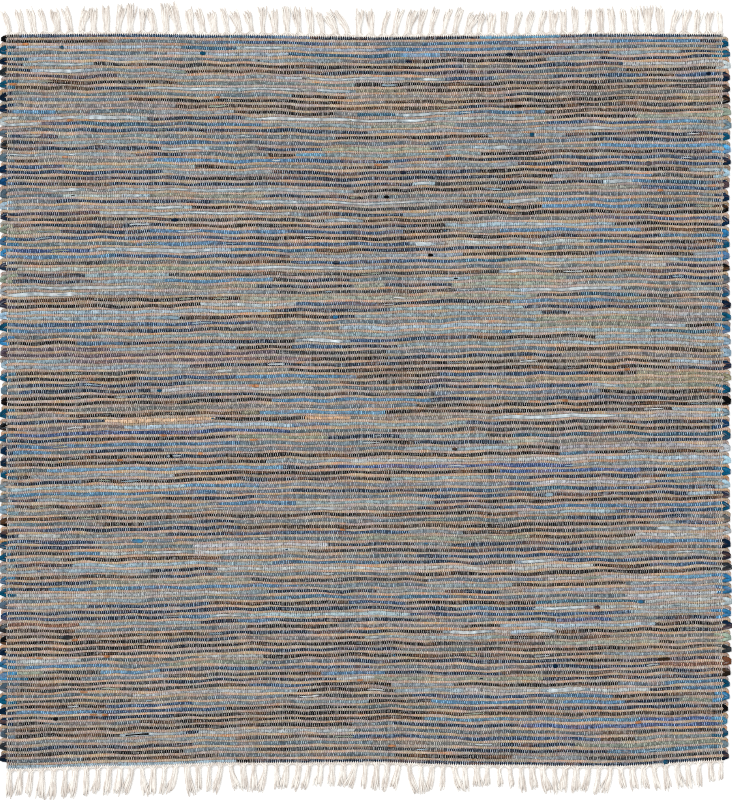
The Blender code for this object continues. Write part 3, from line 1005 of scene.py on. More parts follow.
@dataclass
class Path:
    """A weft's centreline with its half width and half height, station by station."""

    place: np.ndarray
    half_width: np.ndarray
    half_height: np.ndarray
    row: np.ndarray

    @property
    def along(self) -> np.ndarray:
        """How far along the weft each station lies."""
        steps = np.linalg.norm(np.diff(self.place, axis=0), axis=1)
        return np.r_[0, np.cumsum(steps)]

    def read(self, numbers: np.ndarray, stations: np.ndarray) -> np.ndarray:
        """Reads numbers given at the stations between them, straight from one to the next."""
        whole = np.arange(len(numbers))
        if numbers.ndim == 1:
            return np.interp(stations, whole, numbers)
        return np.stack([np.interp(stations, whole, column) for column in numbers.T], axis=1)


def to_the_left(run: np.ndarray) -> np.ndarray:
    """Level unit steps to the left of each of these steps along a yarn."""
    level = run[:, :2] / np.linalg.norm(run[:, :2], axis=1, keepdims=True)
    return np.stack([-level[:, 1], level[:, 0], np.zeros(len(run))], axis=1)


def profiles(centre: np.ndarray, left: np.ndarray, wide: np.ndarray, tall: np.ndarray) -> np.ndarray:
    """Rings of points, each its centre plus wide times the step to the left plus tall upwards."""
    return centre[:, None] + left[:, None] * wide[..., None] + np.array([0, 0, 1]) * tall[..., None]


@dataclass
class Weft:
    """A weft that runs back and forth through the cloth, with a turn at each row's end.

    Attributes:
        cloth: The cloth that it is woven into.
        name: The piece's name.
        rows: How many rows it makes.
        stations: How many stations each row has between the turns.
        half_width: Of the row, along the rug.
        half_height: Of the row.
        turn: A turn's points, from the lower row to the upper one.
        side_share: The profile's points: how far each lies to the side, as a share of the half width.
        up_share: How far each lies up, as a share of the half height.
        lump: How uneven the profile is.
        seed: Of its unevenness.
        held: A turn's points this far in from the selvedge, in millimetres, stay in their places.
        free: Points this near to the selvedge waver in full.
        turn_waver: How far a turn strays in or out by chance, in millimetres.
        turn_girth: How much thinner or thicker a turn is by chance.
    """

    cloth: Cloth
    name: str
    rows: int
    stations: int
    half_width: float
    half_height: float
    turn: tuple[TurnPoint, ...]
    side_share: tuple[float, ...]
    up_share: tuple[float, ...]
    lump: float
    seed: int
    held: float = 20.0
    free: float = 8.0
    turn_waver: float = 2.2
    turn_girth: tuple[float, float] = (-0.28, 0.10)

    @property
    def reach(self) -> float:
        """How far to either side a row runs before it turns."""
        return self.cloth.width / 2 - self.cloth.turn_band

    @property
    def whole(self) -> int:
        """The stations of a row with its turn."""
        return self.stations + len(self.turn)

    def middle(self, row: np.ndarray) -> np.ndarray:
        """The even place of a row's middle."""
        raise NotImplementedError

    def swell(self, row: np.ndarray, x: np.ndarray) -> np.ndarray:
        """How thick a row is at x, as a factor near 1."""
        raise NotImplementedError

    def half_height_at(self, swell: np.ndarray) -> np.ndarray:
        """Half a row's height where it swells by this factor: mostly even, because the cloth is pressed."""
        return self.half_height * (0.9 + 0.1 * swell)

    def path(self) -> Path:
        """The whole centreline, row after row.

        Even rows run to the right and odd rows to the left. A row's stations are even in x. A turn's
        points lie an inset in from the selvedge and climb from the row's middle to the next one's. The
        nearer they are to the selvedge, the more they follow its waver and a chance of their own.
        """
        row = np.arange(self.rows)[:, None]
        way = np.where(row % 2 == 0, 1, -1)
        x = way * np.linspace(-self.reach, self.reach, self.stations)
        y = self.cloth.line(x, self.middle(row))
        swell = self.swell(row, x)
        columns = (x, y, self.cloth.middle, self.half_width * swell, self.half_height_at(swell), row)
        straight = np.stack(np.broadcast_arrays(*columns), axis=-1)
        insets, climbs, levels, girths, depths = np.array(self.turn).T
        draw = np.random.default_rng(self.seed + 1)
        loose = np.clip((self.held - insets) / (self.held - self.free), 0, 1)
        side = way * self.cloth.width / 2
        chance = draw.uniform(-self.turn_waver, self.turn_waver, (self.rows, 1))
        waver = self.cloth.waver(side, self.middle(row)) + chance
        x = side - way * (insets + loose * waver) * MM
        here = self.cloth.line(side, self.middle(row))
        there = self.cloth.line(side, self.middle(row + 1))
        y = here + (there - here) * climbs
        girth = girths * (1 + loose * draw.uniform(*self.turn_girth, (self.rows, 1)))
        columns = (x, y, levels * MM, self.half_width * girth, self.half_height * depths, row)
        turning = np.stack(np.broadcast_arrays(*columns), axis=-1)
        whole = np.concatenate([straight, turning], axis=1).reshape(-1, len(columns))[: -len(self.turn)]
        return Path(whole[:, :3], whole[:, 3], whole[:, 4], whole[:, 5].astype(int))

    def rings(self, path: Path, stations: np.ndarray, taper: np.ndarray) -> np.ndarray:
        """The weft's rings at these stations of its path.

        A ring's point is the centre, plus its share of the half width towards the path's left, plus its
        share of the half height upwards, each shrunk by the taper and made uneven.
        """
        draw = np.random.default_rng(self.seed + 2)
        centre = path.read(path.place, stations)
        left = to_the_left(path.read(np.gradient(path.place, axis=0), stations))
        shape = (len(stations), len(self.side_share))
        taper = taper[:, None]
        wide = path.read(path.half_width, stations)[:, None] * taper * np.array(self.side_share)
        tall = path.read(path.half_height, stations)[:, None] * taper**0.6 * np.array(self.up_share)
        wide = wide * (1 + self.lump * draw.uniform(-1, 1, shape))
        tall = tall * (1 - 0.8 * self.lump * draw.uniform(0, 1, shape))
        return profiles(centre, left, wide, tall)


@dataclass
class RagWeft(Weft):
    """The denim weft: rags of many cloths, each a crumpled strip, laid end over end.

    Attributes:
        overlap: How far a rag reaches past its cut, in stations.
        saturation: How much of their colour the rags keep between the warps.
        turn_saturation: How much they keep in the selvedge turns, where no warp rubs them.
        shortest: The shortest rag.
        longest: The longest rag.
        clear: How near to a known rag's end, in stations, no other cut comes.
        least: The least distance between two cuts, in stations.
        bare_margin: How far a rag reaches past its edge that lies bare over the warps, in pixels.
        turn_lap: How far a turn's rag reaches into the rows beside it, in stations.
        shades: How much darker or lighter one rag is than the next of the same cloth.
        palest: The palest grey of a rag.
        ends: The stations at which the rags end, once the weft has been built.
        dyes: The rags' colours, likewise.
    """

    name: str = "denim_weft"
    rows: int = 123
    stations: int = 80
    half_width: float = 4.5 * MM
    half_height: float = 2.5 * MM
    turn: tuple[TurnPoint, ...] = (
        TurnPoint(20.0, 0.00, 2.6, 1.00, 0.90),
        TurnPoint(14.0, 0.12, 2.0, 1.15, 0.80),
        TurnPoint(8.5, 0.20, 2.4, 1.25, 0.85),
        TurnPoint(2.8, 0.28, 3.2, 1.22, 0.90),
        TurnPoint(3.4, 0.54, 4.0, 1.32, 0.95),
        TurnPoint(8.2, 0.74, 3.9, 1.36, 0.95),
        TurnPoint(13.5, 0.90, 3.3, 1.20, 0.95),
        TurnPoint(20.0, 1.00, 2.7, 1.00, 0.90),
    )
    side_share: tuple[float, ...] = (1, 0.6, -0.6, -1, -0.6, 0.6)
    up_share: tuple[float, ...] = (0, 1, 1, 0, -1, -1)
    lump: float = 0.13
    seed: int = 31
    overlap: float = 0.25
    saturation: float = 0.70
    turn_saturation: float = 1.05
    shortest: float = 0.07
    longest: float = 0.45
    clear: float = 1.5
    least: float = 0.8
    bare_margin: float = 5.0
    turn_lap: tuple[float, float] = (0.1, 1.2)
    shades: tuple[float, float] = (0.74, 1.50)
    palest: float = 0.60
    ends: np.ndarray = field(init=False)
    dyes: np.ndarray = field(init=False)

    def middle(self, row: np.ndarray) -> np.ndarray:
        """The even place of a row's middle."""
        return self.cloth.rag_middle(row)

    def swell(self, row: np.ndarray, x: np.ndarray) -> np.ndarray:
        """How thick a row is at x, as a factor near 1."""
        return self.cloth.swell(row, x)

    def station_at(self, row: np.ndarray, x: np.ndarray) -> np.ndarray:
        """The station of the path at which a row passes x."""
        way = np.where(np.asarray(row) % 2 == 0, 1, -1)
        share = np.clip((way * x / self.reach + 1) / 2, -0.02, 1.02)
        return row * self.whole + share * (self.stations - 1)

    def dye_at(self, row: np.ndarray, x: np.ndarray) -> np.ndarray:
        """How the rag of a row at x tints what rubs on it, as a factor on each colour.

        On the screen's scale the tint is a middle grey with the rag's own differences between red,
        green and blue, a little darker on a dark rag. It is read after the weft has been built.
        """
        rag = np.searchsorted(self.ends, self.station_at(row, x)).clip(0, len(self.dyes) - 1)
        shown = self.dyes[rag] ** (1 / SCREEN_POWER)
        grey = shown @ LUMINANCE
        darkness = np.minimum(0.85 + 0.27 * grey, 0.98)
        return ((1 + (shown - grey) / RUBBED_GREY).clip(0.3, 2) * darkness) ** SCREEN_POWER

    def cuts(self, path: Path) -> tuple[np.ndarray, list[Rag]]:
        """Where one rag ends and the next begins, as stations, and each rag's cloth.

        Rags are drawn with even chances between the shortest and the longest. The drawn rags give way
        to known ones: the runs that stand out in the photograph, the rags whose edges lie bare over the
        warps and those that go round the turns.
        """
        draw = np.random.default_rng(self.seed)
        along = path.along
        lengths = draw.uniform(self.shortest, self.longest, int(along[-1] / self.shortest))
        ends = np.cumsum(lengths)
        ends = ends[ends < along[-1] - self.shortest]
        cuts = np.interp(ends, along, np.arange(len(along)))
        owned = [self.stretch(run) for run in (*RUNS, *self.bared())] + self.turn_rags(draw)
        for low, high, _ in owned:
            cuts = cuts[(cuts < low - self.clear) | (cuts > high + self.clear)]
        marks = np.array([side for low, high, _ in owned for side in (low, high)])
        cuts = np.unique(np.r_[0, cuts, np.clip(marks, 0, len(along) - 1), len(along) - 1])
        cuts = cuts[np.r_[True, np.diff(cuts) > self.least]]
        rags = []
        for low, high in zip(cuts[:-1], cuts[1:]):
            middle = (low + high) / 2
            taken = [rag for start, end, rag in owned if start - 0.5 <= middle <= end + 0.5]
            rags.append(taken[-1] if taken else self.drawn(path, middle, draw))
        return cuts, rags

    def bared(self) -> list[Run]:
        """The runs of the rags whose pale edges lie bare over the warps."""
        return [Run(edge.down, edge.left - self.bare_margin, edge.right + self.bare_margin, Rag.SKY)
                for edge in LOOSE if edge.rag is Rag.PALE]

    def stretch(self, run: Run) -> tuple[float, float, Rag]:
        """The stations between which a run of the photograph lies, and its cloth."""
        row = self.cloth.row_at(*self.cloth.from_photo((run.left + run.right) / 2, run.down))
        ends = [self.cloth.from_photo(end, run.down)[0] for end in (run.left, run.right)]
        low, high = sorted(self.station_at(row, x) for x in ends)
        return low, high, run.rag

    def turn_rags(self, draw: np.random.Generator) -> list[tuple[float, float, Rag]]:
        """The rags that go round the selvedge turns, each from a little way into one row to the next.

        Even rows end in a turn at the right and odd rows in one at the left.
        """
        owned = []
        for row in range(self.rows - 1):
            side, turns = (1, RIGHT_TURNS) if row % 2 == 0 else (-1, LEFT_TURNS)
            x = side * self.cloth.width / 2
            y = float(self.cloth.line(x, (self.middle(row) + self.middle(row + 1)) / 2))
            down = self.cloth.photo_down(y)
            rag = min(turns, key=lambda cloth: min(abs(place - down) for place in turns[cloth]))
            low = row * self.whole + self.stations - 1 - draw.uniform(*self.turn_lap)
            high = (row + 1) * self.whole + draw.uniform(*self.turn_lap)
            owned.append((low, high, rag))
        return owned

    def drawn(self, path: Path, station: float, draw: np.random.Generator) -> Rag:
        """A rag drawn from the mix of the band in which the station lies."""
        down = self.cloth.photo_down(path.place[int(station), 1])
        mix = next((band.mix for band in BANDS if down <= band.down_to), BANDS[-1].mix).value
        chances = np.array(list(mix.values()), float)
        return list(mix)[draw.choice(len(chances), p=chances / chances.sum())]

    def build(self, finish: bpy.types.Material) -> bpy.types.Object:
        """Makes the weft as one piece: a closed, lumpy tube for each rag, with tapered ends.

        A rag's stations are its two ends a little past the cuts, the cuts, and the whole stations
        between them. Its taper is small at the ends and full from the first whole station on.
        """
        path = self.path()
        cuts, rags = self.cuts(path)
        stations = []
        for low, high in zip(cuts[:-1], cuts[1:]):
            between_cuts = np.arange(math.ceil(low + 0.3), math.floor(high - 0.3) + 1)
            stations.append(np.r_[low - self.overlap, low, between_cuts, high, high + self.overlap])
        counts = np.array([len(part) for part in stations])
        rag = np.repeat(np.arange(len(counts)), counts)
        stations = np.clip(np.concatenate(stations), 0, len(path.place) - 1)
        from_start = np.arange(len(rag)) - np.repeat(np.cumsum(counts) - counts, counts)
        from_end = np.repeat(counts, counts) - 1 - from_start
        taper = np.choose(np.minimum(np.minimum(from_start, from_end), 2), [0.35, 0.88, 1.0])
        draw = np.random.default_rng(self.seed + 3)
        taper = taper * draw.uniform(0.92, 1.05, len(counts))[rag]
        rings = self.rings(path, stations, taper)
        colours = np.array([linear(cloth.value) for cloth in rags])
        grey = colours @ LUMINANCE
        turning = (cuts[1:] + cuts[:-1]) / 2 % self.whole > self.stations - 3
        vivid = np.where(turning, self.turn_saturation / self.saturation, 1)[:, None]
        shade = np.minimum(draw.uniform(*self.shades, (len(rags), 1)), self.palest / grey)
        shade = shade * draw.uniform(0.96, 1.04, (len(rags), 3))
        dyes = (grey + (colours - grey) * self.saturation) * shade
        colours = (grey + (colours - grey) * self.saturation * vivid) * shade
        self.ends, self.dyes = cuts[1:-1], np.clip(dyes, 0, 1)
        seeds = draw.uniform(0, 1, len(rags))
        points = rings.reshape(-1, 3)
        skein = Skein(rings, rag, path.read(path.along, stations), path.row[stations.astype(int)],
                      np.clip(colours, 0, 1)[rag], {"cloth_seed": seeds[rag]},
                      {"warp_phase": self.cloth.warp_phase(points[:, 0], points[:, 1])})
        return piece(skein.mesh(self.name), finish)


@dataclass
class JuteWeft(Weft):
    """The jute weft: one coarse yarn that lies in the groove between each two rag rows."""

    name: str = "jute_weft"
    rows: int = 122
    stations: int = 80
    half_width: float = 3.75 * MM
    half_height: float = 2.1 * MM
    turn: tuple[TurnPoint, ...] = (
        TurnPoint(20.0, 0.00, 2.4, 0.90, 0.90),
        TurnPoint(13.0, 0.05, 1.3, 0.75, 0.60),
        TurnPoint(7.0, 0.20, 1.2, 0.75, 0.55),
        TurnPoint(4.2, 0.52, 1.9, 0.90, 0.75),
        TurnPoint(4.2, 0.86, 3.0, 1.10, 0.95),
        TurnPoint(7.6, 1.04, 3.6, 1.15, 1.00),
        TurnPoint(13.5, 1.03, 3.6, 1.05, 1.00),
        TurnPoint(20.5, 1.00, 3.3, 1.00, 1.00),
    )
    side_share: tuple[float, ...] = (1, 0.55, -0.55, -1, 0)
    up_share: tuple[float, ...] = (0, 1, 1, 0, -1)
    lump: float = 0.12
    seed: int = 57

    def middle(self, row: np.ndarray) -> np.ndarray:
        """The even place of a row's middle."""
        return self.cloth.jute_middle(row)

    def swell(self, row: np.ndarray, x: np.ndarray) -> np.ndarray:
        """How thick a row is at x: fuller where the rag rows beside it are thin."""
        beside = self.cloth.swell(row, x) + self.cloth.swell(row + 1, x)
        return 1 + 1.3 * (1 - beside / 2)

    def build(self, finish: bpy.types.Material) -> bpy.types.Object:
        """Makes the weft as one closed tube, with a tone that changes from length to length."""
        path = self.path()
        stations = np.arange(len(path.place), dtype=float)
        taper = np.ones(len(stations))
        taper[[0, -1]] = 0.4
        rings = self.rings(path, stations, taper)
        draw = np.random.default_rng(self.seed + 3)
        knots = draw.uniform(-1, 1, len(stations) // 5 + 2)
        tone = np.interp(stations / 5, np.arange(len(knots)), knots)
        points = rings.reshape(-1, 3)
        skein = Skein(rings, np.zeros(len(stations), int), path.along, path.row, None,
                      {"cloth_seed": np.full(len(stations), 0.3), "cloth_tone": tone},
                      {"warp_phase": self.cloth.warp_phase(points[:, 0], points[:, 1])})
        return piece(skein.mesh(self.name), finish)


# ---- Warps -----------------------------------------------------------------------------------------


@dataclass
class Warps:
    """The cotton warps, each a flat ribbon that passes over one kind of row and under the other.

    Attributes:
        cloth: The cloth that they hold together.
        rags: The rag weft, whose rows' heights they follow.
        jute: The jute weft, likewise.
        width: A warp's width where it lies over a row.
        clearance: Between a ribbon and the row that it crosses.
        crest_stray: How far a crest's ends stray along the warp.
        edge_factor: How much wider the warps beside the selvedges are.
        seed: Of their unevenness.
    """

    cloth: Cloth
    rags: RagWeft
    jute: JuteWeft
    width: float = 2.05 * MM
    clearance: float = 0.35 * MM
    crest_stray: float = 0.8 * MM
    edge_factor: float = 1.3
    seed: int = 83

    def crossings(self, over_rags: bool, x: np.ndarray,
                  draw: np.random.Generator) -> tuple[np.ndarray, np.ndarray]:
        """Where the ribbons lie: the even place of each of their stations, and its height.

        Over a row there are two stations, at its profile's two upper corners, and under one there is a
        single station, at its middle. The rows' own swell sets both.

        Args:
            over_rags: True for the warps that pass over the rag rows.
            x: Each warp's even place.
            draw: Gives the chance lengths of the crests.

        Returns:
            Even places and heights, in shape (warps, stations).
        """
        lines = []
        for weft, over, corner in ((self.rags, over_rags, 0.62), (self.jute, not over_rags, 0.60)):
            row = np.arange(weft.rows)
            swell = weft.swell(row, x[:, None])
            place = (weft.middle(row) + 0 * swell)[..., None]
            height = (weft.half_height_at(swell) + self.clearance)[..., None]
            if over:
                half = corner * weft.half_width * swell[..., None]
                place = np.concatenate([place - half, place + half], axis=-1)
                place = place + draw.uniform(-self.crest_stray, self.crest_stray, place.shape)
                lines.append((place, np.repeat(height, 2, axis=-1)))
            else:
                lines.append((place, -height))
        first, second = lines
        merged = []
        for part in (0, 1):
            pair = np.concatenate([first[part][:, :-1], second[part]], axis=-1).reshape(len(x), -1)
            merged.append(np.concatenate([pair, first[part][:, -1]], axis=1))
        return merged[0], merged[1] + self.cloth.middle

    def build(self, name: str, over_rags: bool, left_half: bool,
              finish: bpy.types.Material) -> bpy.types.Object:
        """Makes one half of the rug's warps of one kind as a piece.

        A ribbon's two edges lie half its width to the left and right of its warp's place, and one is a
        little higher than the other, as on a plied yarn. Its place and width stray by chance, for the
        whole warp, for each crest and for each station.
        """
        draw = np.random.default_rng(self.seed + 2 * over_rags + left_half)
        pairs = np.arange(self.cloth.warp_pairs) - (self.cloth.warp_pairs - 1) / 2
        pairs = pairs[pairs < 0] if left_half else pairs[pairs > 0]
        shift = -0.25 if over_rags else 0.25
        even_x = (pairs + shift) * self.cloth.warp_pitch
        places, heights = self.crossings(over_rags, even_x, draw)
        y = self.cloth.line(even_x[:, None], places)
        warps, stations = y.shape
        crest = np.arange(stations) // 3
        crests = (warps, crest[-1] + 1)
        x = even_x[:, None] + self.cloth.wander(even_x[:, None], y)
        x = x + draw.uniform(-0.40, 0.40, (warps, 1)) * MM
        x = x + draw.uniform(-0.36, 0.36, crests)[:, crest] * MM
        x = x + draw.uniform(-0.14, 0.14, x.shape) * MM
        from_edge = self.cloth.warp_pairs / 2 - np.abs(pairs)
        wide = self.width * np.where(from_edge < 2, self.edge_factor, 1)[:, None]
        wide = wide * draw.uniform(0.84, 1.14, (warps, 1))
        wide = wide * draw.uniform(0.82, 1.16, crests)[:, crest]
        tilt = draw.uniform(-0.22, 0.22, x.shape) * MM
        left = np.stack([x - wide / 2, y, heights - tilt], axis=-1)
        right = np.stack([x + wide / 2, y, heights + tilt], axis=-1)
        points = np.stack([left, right], axis=2)
        corner = np.arange(warps * stations * 2).reshape(warps, stations, 2)
        faces = np.stack([corner[:, :-1, 0], corner[:, :-1, 1], corner[:, 1:, 1], corner[:, 1:, 0]], axis=-1)
        made = bpy.data.meshes.new(name)
        made.from_pydata(points.reshape(-1, 3).tolist(), [], faces.reshape(-1, 4).tolist())
        made.polygons.foreach_set("use_smooth", np.ones(len(made.polygons), bool))
        along = y + np.arange(warps)[:, None] * 0.37
        self.maps(made, along, wide)
        tone = draw.uniform(-1, 1, (warps, 1)) + 0 * x
        add_numbers(made, "cloth_tone", np.repeat(tone.ravel(), 2))
        if over_rags:
            dye = self.rags.dye_at(crest[None], even_x[:, None])
            dye = np.where((from_edge < 1)[:, None, None], 1.35, dye)
            add_colours(made, "cloth_colour", np.repeat(dye.reshape(-1, 3), 2, axis=0))
        return piece(made, finish)

    @staticmethod
    def maps(mesh: bpy.types.Mesh, along: np.ndarray, wide: np.ndarray) -> None:
        """Gives the ribbons their maps: along and across in metres, and a strip of the bake map each."""
        width = wide[:, :-1]
        add_map(mesh, ALONG_MAP, corner_places(along[:, :-1], along[:, 1:], 0 * width, width))
        warps, steps = width.shape
        warp, step = np.meshgrid(np.arange(warps), np.arange(steps), indexing="ij")
        left, right = (warp + STRIP_GAP) / warps, (warp + 1 - STRIP_GAP) / warps
        add_map(mesh, BAKE_MAP, corner_places(step / steps, (step + 1) / steps, left, right)[:, ::-1])


# ---- Loose rag edges and knots ---------------------------------------------------------------------


@dataclass
class LooseRags:
    """Rag edges and knots that have come to lie over the warps, as thin tapered strips.

    Attributes:
        cloth: The cloth that they lie on.
        name: The piece's name.
        stations: How many stations each strip has.
        top: The height of a strip's middle where it is full.
        sink: How far lower its ends lie.
        sides: The profile's points: how far each lies to the side, as a share of the half width.
        ups: How far each lies up, as a share of the half height.
        fullness: How much wider a strip is than its edge shows in the photograph.
        knot_length: Shorter ones are knots, in pixels.
        small: How many small ones there are beside those of the table.
        seed: Of their unevenness.
    """

    cloth: Cloth
    name: str = "loose_rag_edges"
    stations: int = 9
    top: float = 6.45 * MM
    sink: float = 1.4 * MM
    sides: tuple[float, ...] = (1, 0.7, -0.7, -1, 0)
    ups: tuple[float, ...] = (0, 1, 1, 0, -0.7)
    fullness: float = 1.4
    knot_length: float = 16.0
    small: int = 170
    seed: int = 101

    def build(self, finish: bpy.types.Material) -> bpy.types.Object:
        """Makes all strips as one piece."""
        draw = np.random.default_rng(self.seed)
        rings, colours = [], []
        for edge in (*LOOSE, *self.drawn(draw)):
            rings.append(self.strip(edge, draw))
            colours.append(linear(edge.rag.value) * draw.uniform(0.80, 1.02))
        yarn = np.repeat(np.arange(len(rings)), self.stations)
        seeds = draw.uniform(0, 1, len(rings))
        rings = np.concatenate(rings)
        skein = Skein(rings, yarn, rings[:, :, 0].mean(1), yarn, np.array(colours)[yarn],
                      {"cloth_seed": seeds[yarn], "warp_phase": np.zeros(len(yarn))})
        return piece(skein.mesh(self.name), finish)

    def strip(self, edge: Loose, draw: np.random.Generator) -> np.ndarray:
        """One strip's rings, in shape (stations, sides, 3).

        A strip follows its row, a little unevenly. Its width and height rise from a sliver to their full
        values over a chance share of its length at either end, and its ends sink into the cloth. A short
        one is a knot, which is full nearly from end to end.
        """
        share = np.linspace(0, 1, self.stations)
        left, y = self.cloth.from_photo(edge.left, edge.down)
        right = self.cloth.from_photo(edge.right, edge.down)[0]
        row = self.cloth.row_at((left + right) / 2, y)
        x = left + (right - left) * share
        knot = edge.right - edge.left < self.knot_length
        start, end = draw.choice([0.35] if knot else [0.03, 0.10, 0.45], 2)
        rise = np.clip(0.35 * knot + np.minimum(share / start, (1 - share) / end), 0, 1) ** 0.6
        chance = np.interp(share, np.linspace(0, 1, 6), draw.uniform(-1, 1, 6))
        even = self.cloth.jute_middle(row) if edge.rag is Rag.ORANGE else self.cloth.rag_middle(row)
        y = self.cloth.line(x, even) + chance * (0.3 if knot else 0.8) * MM
        half = (1 if knot else self.fullness) * edge.wide * PIXEL / 2 * (0.06 + 0.94 * rise)
        half = half * (1 + 0.22 * draw.uniform(-1, 1, self.stations))
        height = (1.1 if knot else 0.55) * MM * (0.3 + 0.7 * rise)
        centre = np.stack([x, y, self.top - (1 - rise) * self.sink], axis=1)
        wide = half[:, None] * np.array(self.sides)
        tall = height[:, None] * np.array(self.ups)
        return profiles(centre, to_the_left(np.gradient(centre, axis=0)), wide, tall)

    def drawn(self, draw: np.random.Generator) -> list[Loose]:
        """Small edges and tufts at chance places, in pixels of the photograph. Every fifth is a tuft."""
        edges = (Rag.PALE, Rag.PALE, Rag.STEEL, Rag.SKY, Rag.SAGE)
        tufts = (Rag.NAVY, Rag.BLACK, Rag.TEAL, Rag.BLUE)
        made = []
        for number in range(self.small):
            left, down = draw.uniform(8, 700), draw.uniform(42, 758)
            tuft = number % 5 == 0
            rags = tufts if tuft else edges
            length = draw.uniform(2.0, 4.5) if tuft else draw.uniform(5, 24)
            wide = draw.uniform(0.7, 1.3)
            made.append(Loose(down, left, left + length, wide, rags[draw.integers(len(rags))]))
        return made


# ---- Fringe ----------------------------------------------------------------------------------------

HEADING_WAY = (-0.35, 0.0, 0.35, 0.7)  # a yarn's stations before its tassel's root, as a share
YARN_WAY = (0.0, 0.09, 0.2, 0.38, 0.56, 0.72, 0.87, 1.0)  # its stations beyond the root
CORE_WAY = (-0.10, 0.0, 0.09, 0.2, 0.4, 0.6, 0.76, 0.88)  # a core's stations
CORE_TAPER = (1.3, 1.0, 1.0, 1.0, 1.0, 0.95, 0.8, 0.35)  # the factor on its size at each


class Section(NamedTuple):
    """Tassels that lie alike: how many, how far their tips lie to the right of their knots in
    millimetres, the share by which they close up, and their reach in millimetres."""

    tassels: int
    lean: float
    gather: float
    reach: float


class Ring(NamedTuple):
    """A tassel's size at a share of its reach: its width and height in millimetres."""

    along: float
    width: float
    height: float


class Tassels(NamedTuple):
    """The x of tassels' roots and tips, their reaches and the factors on their girths."""

    root: np.ndarray
    tip: np.ndarray
    reach: np.ndarray
    girth: np.ndarray


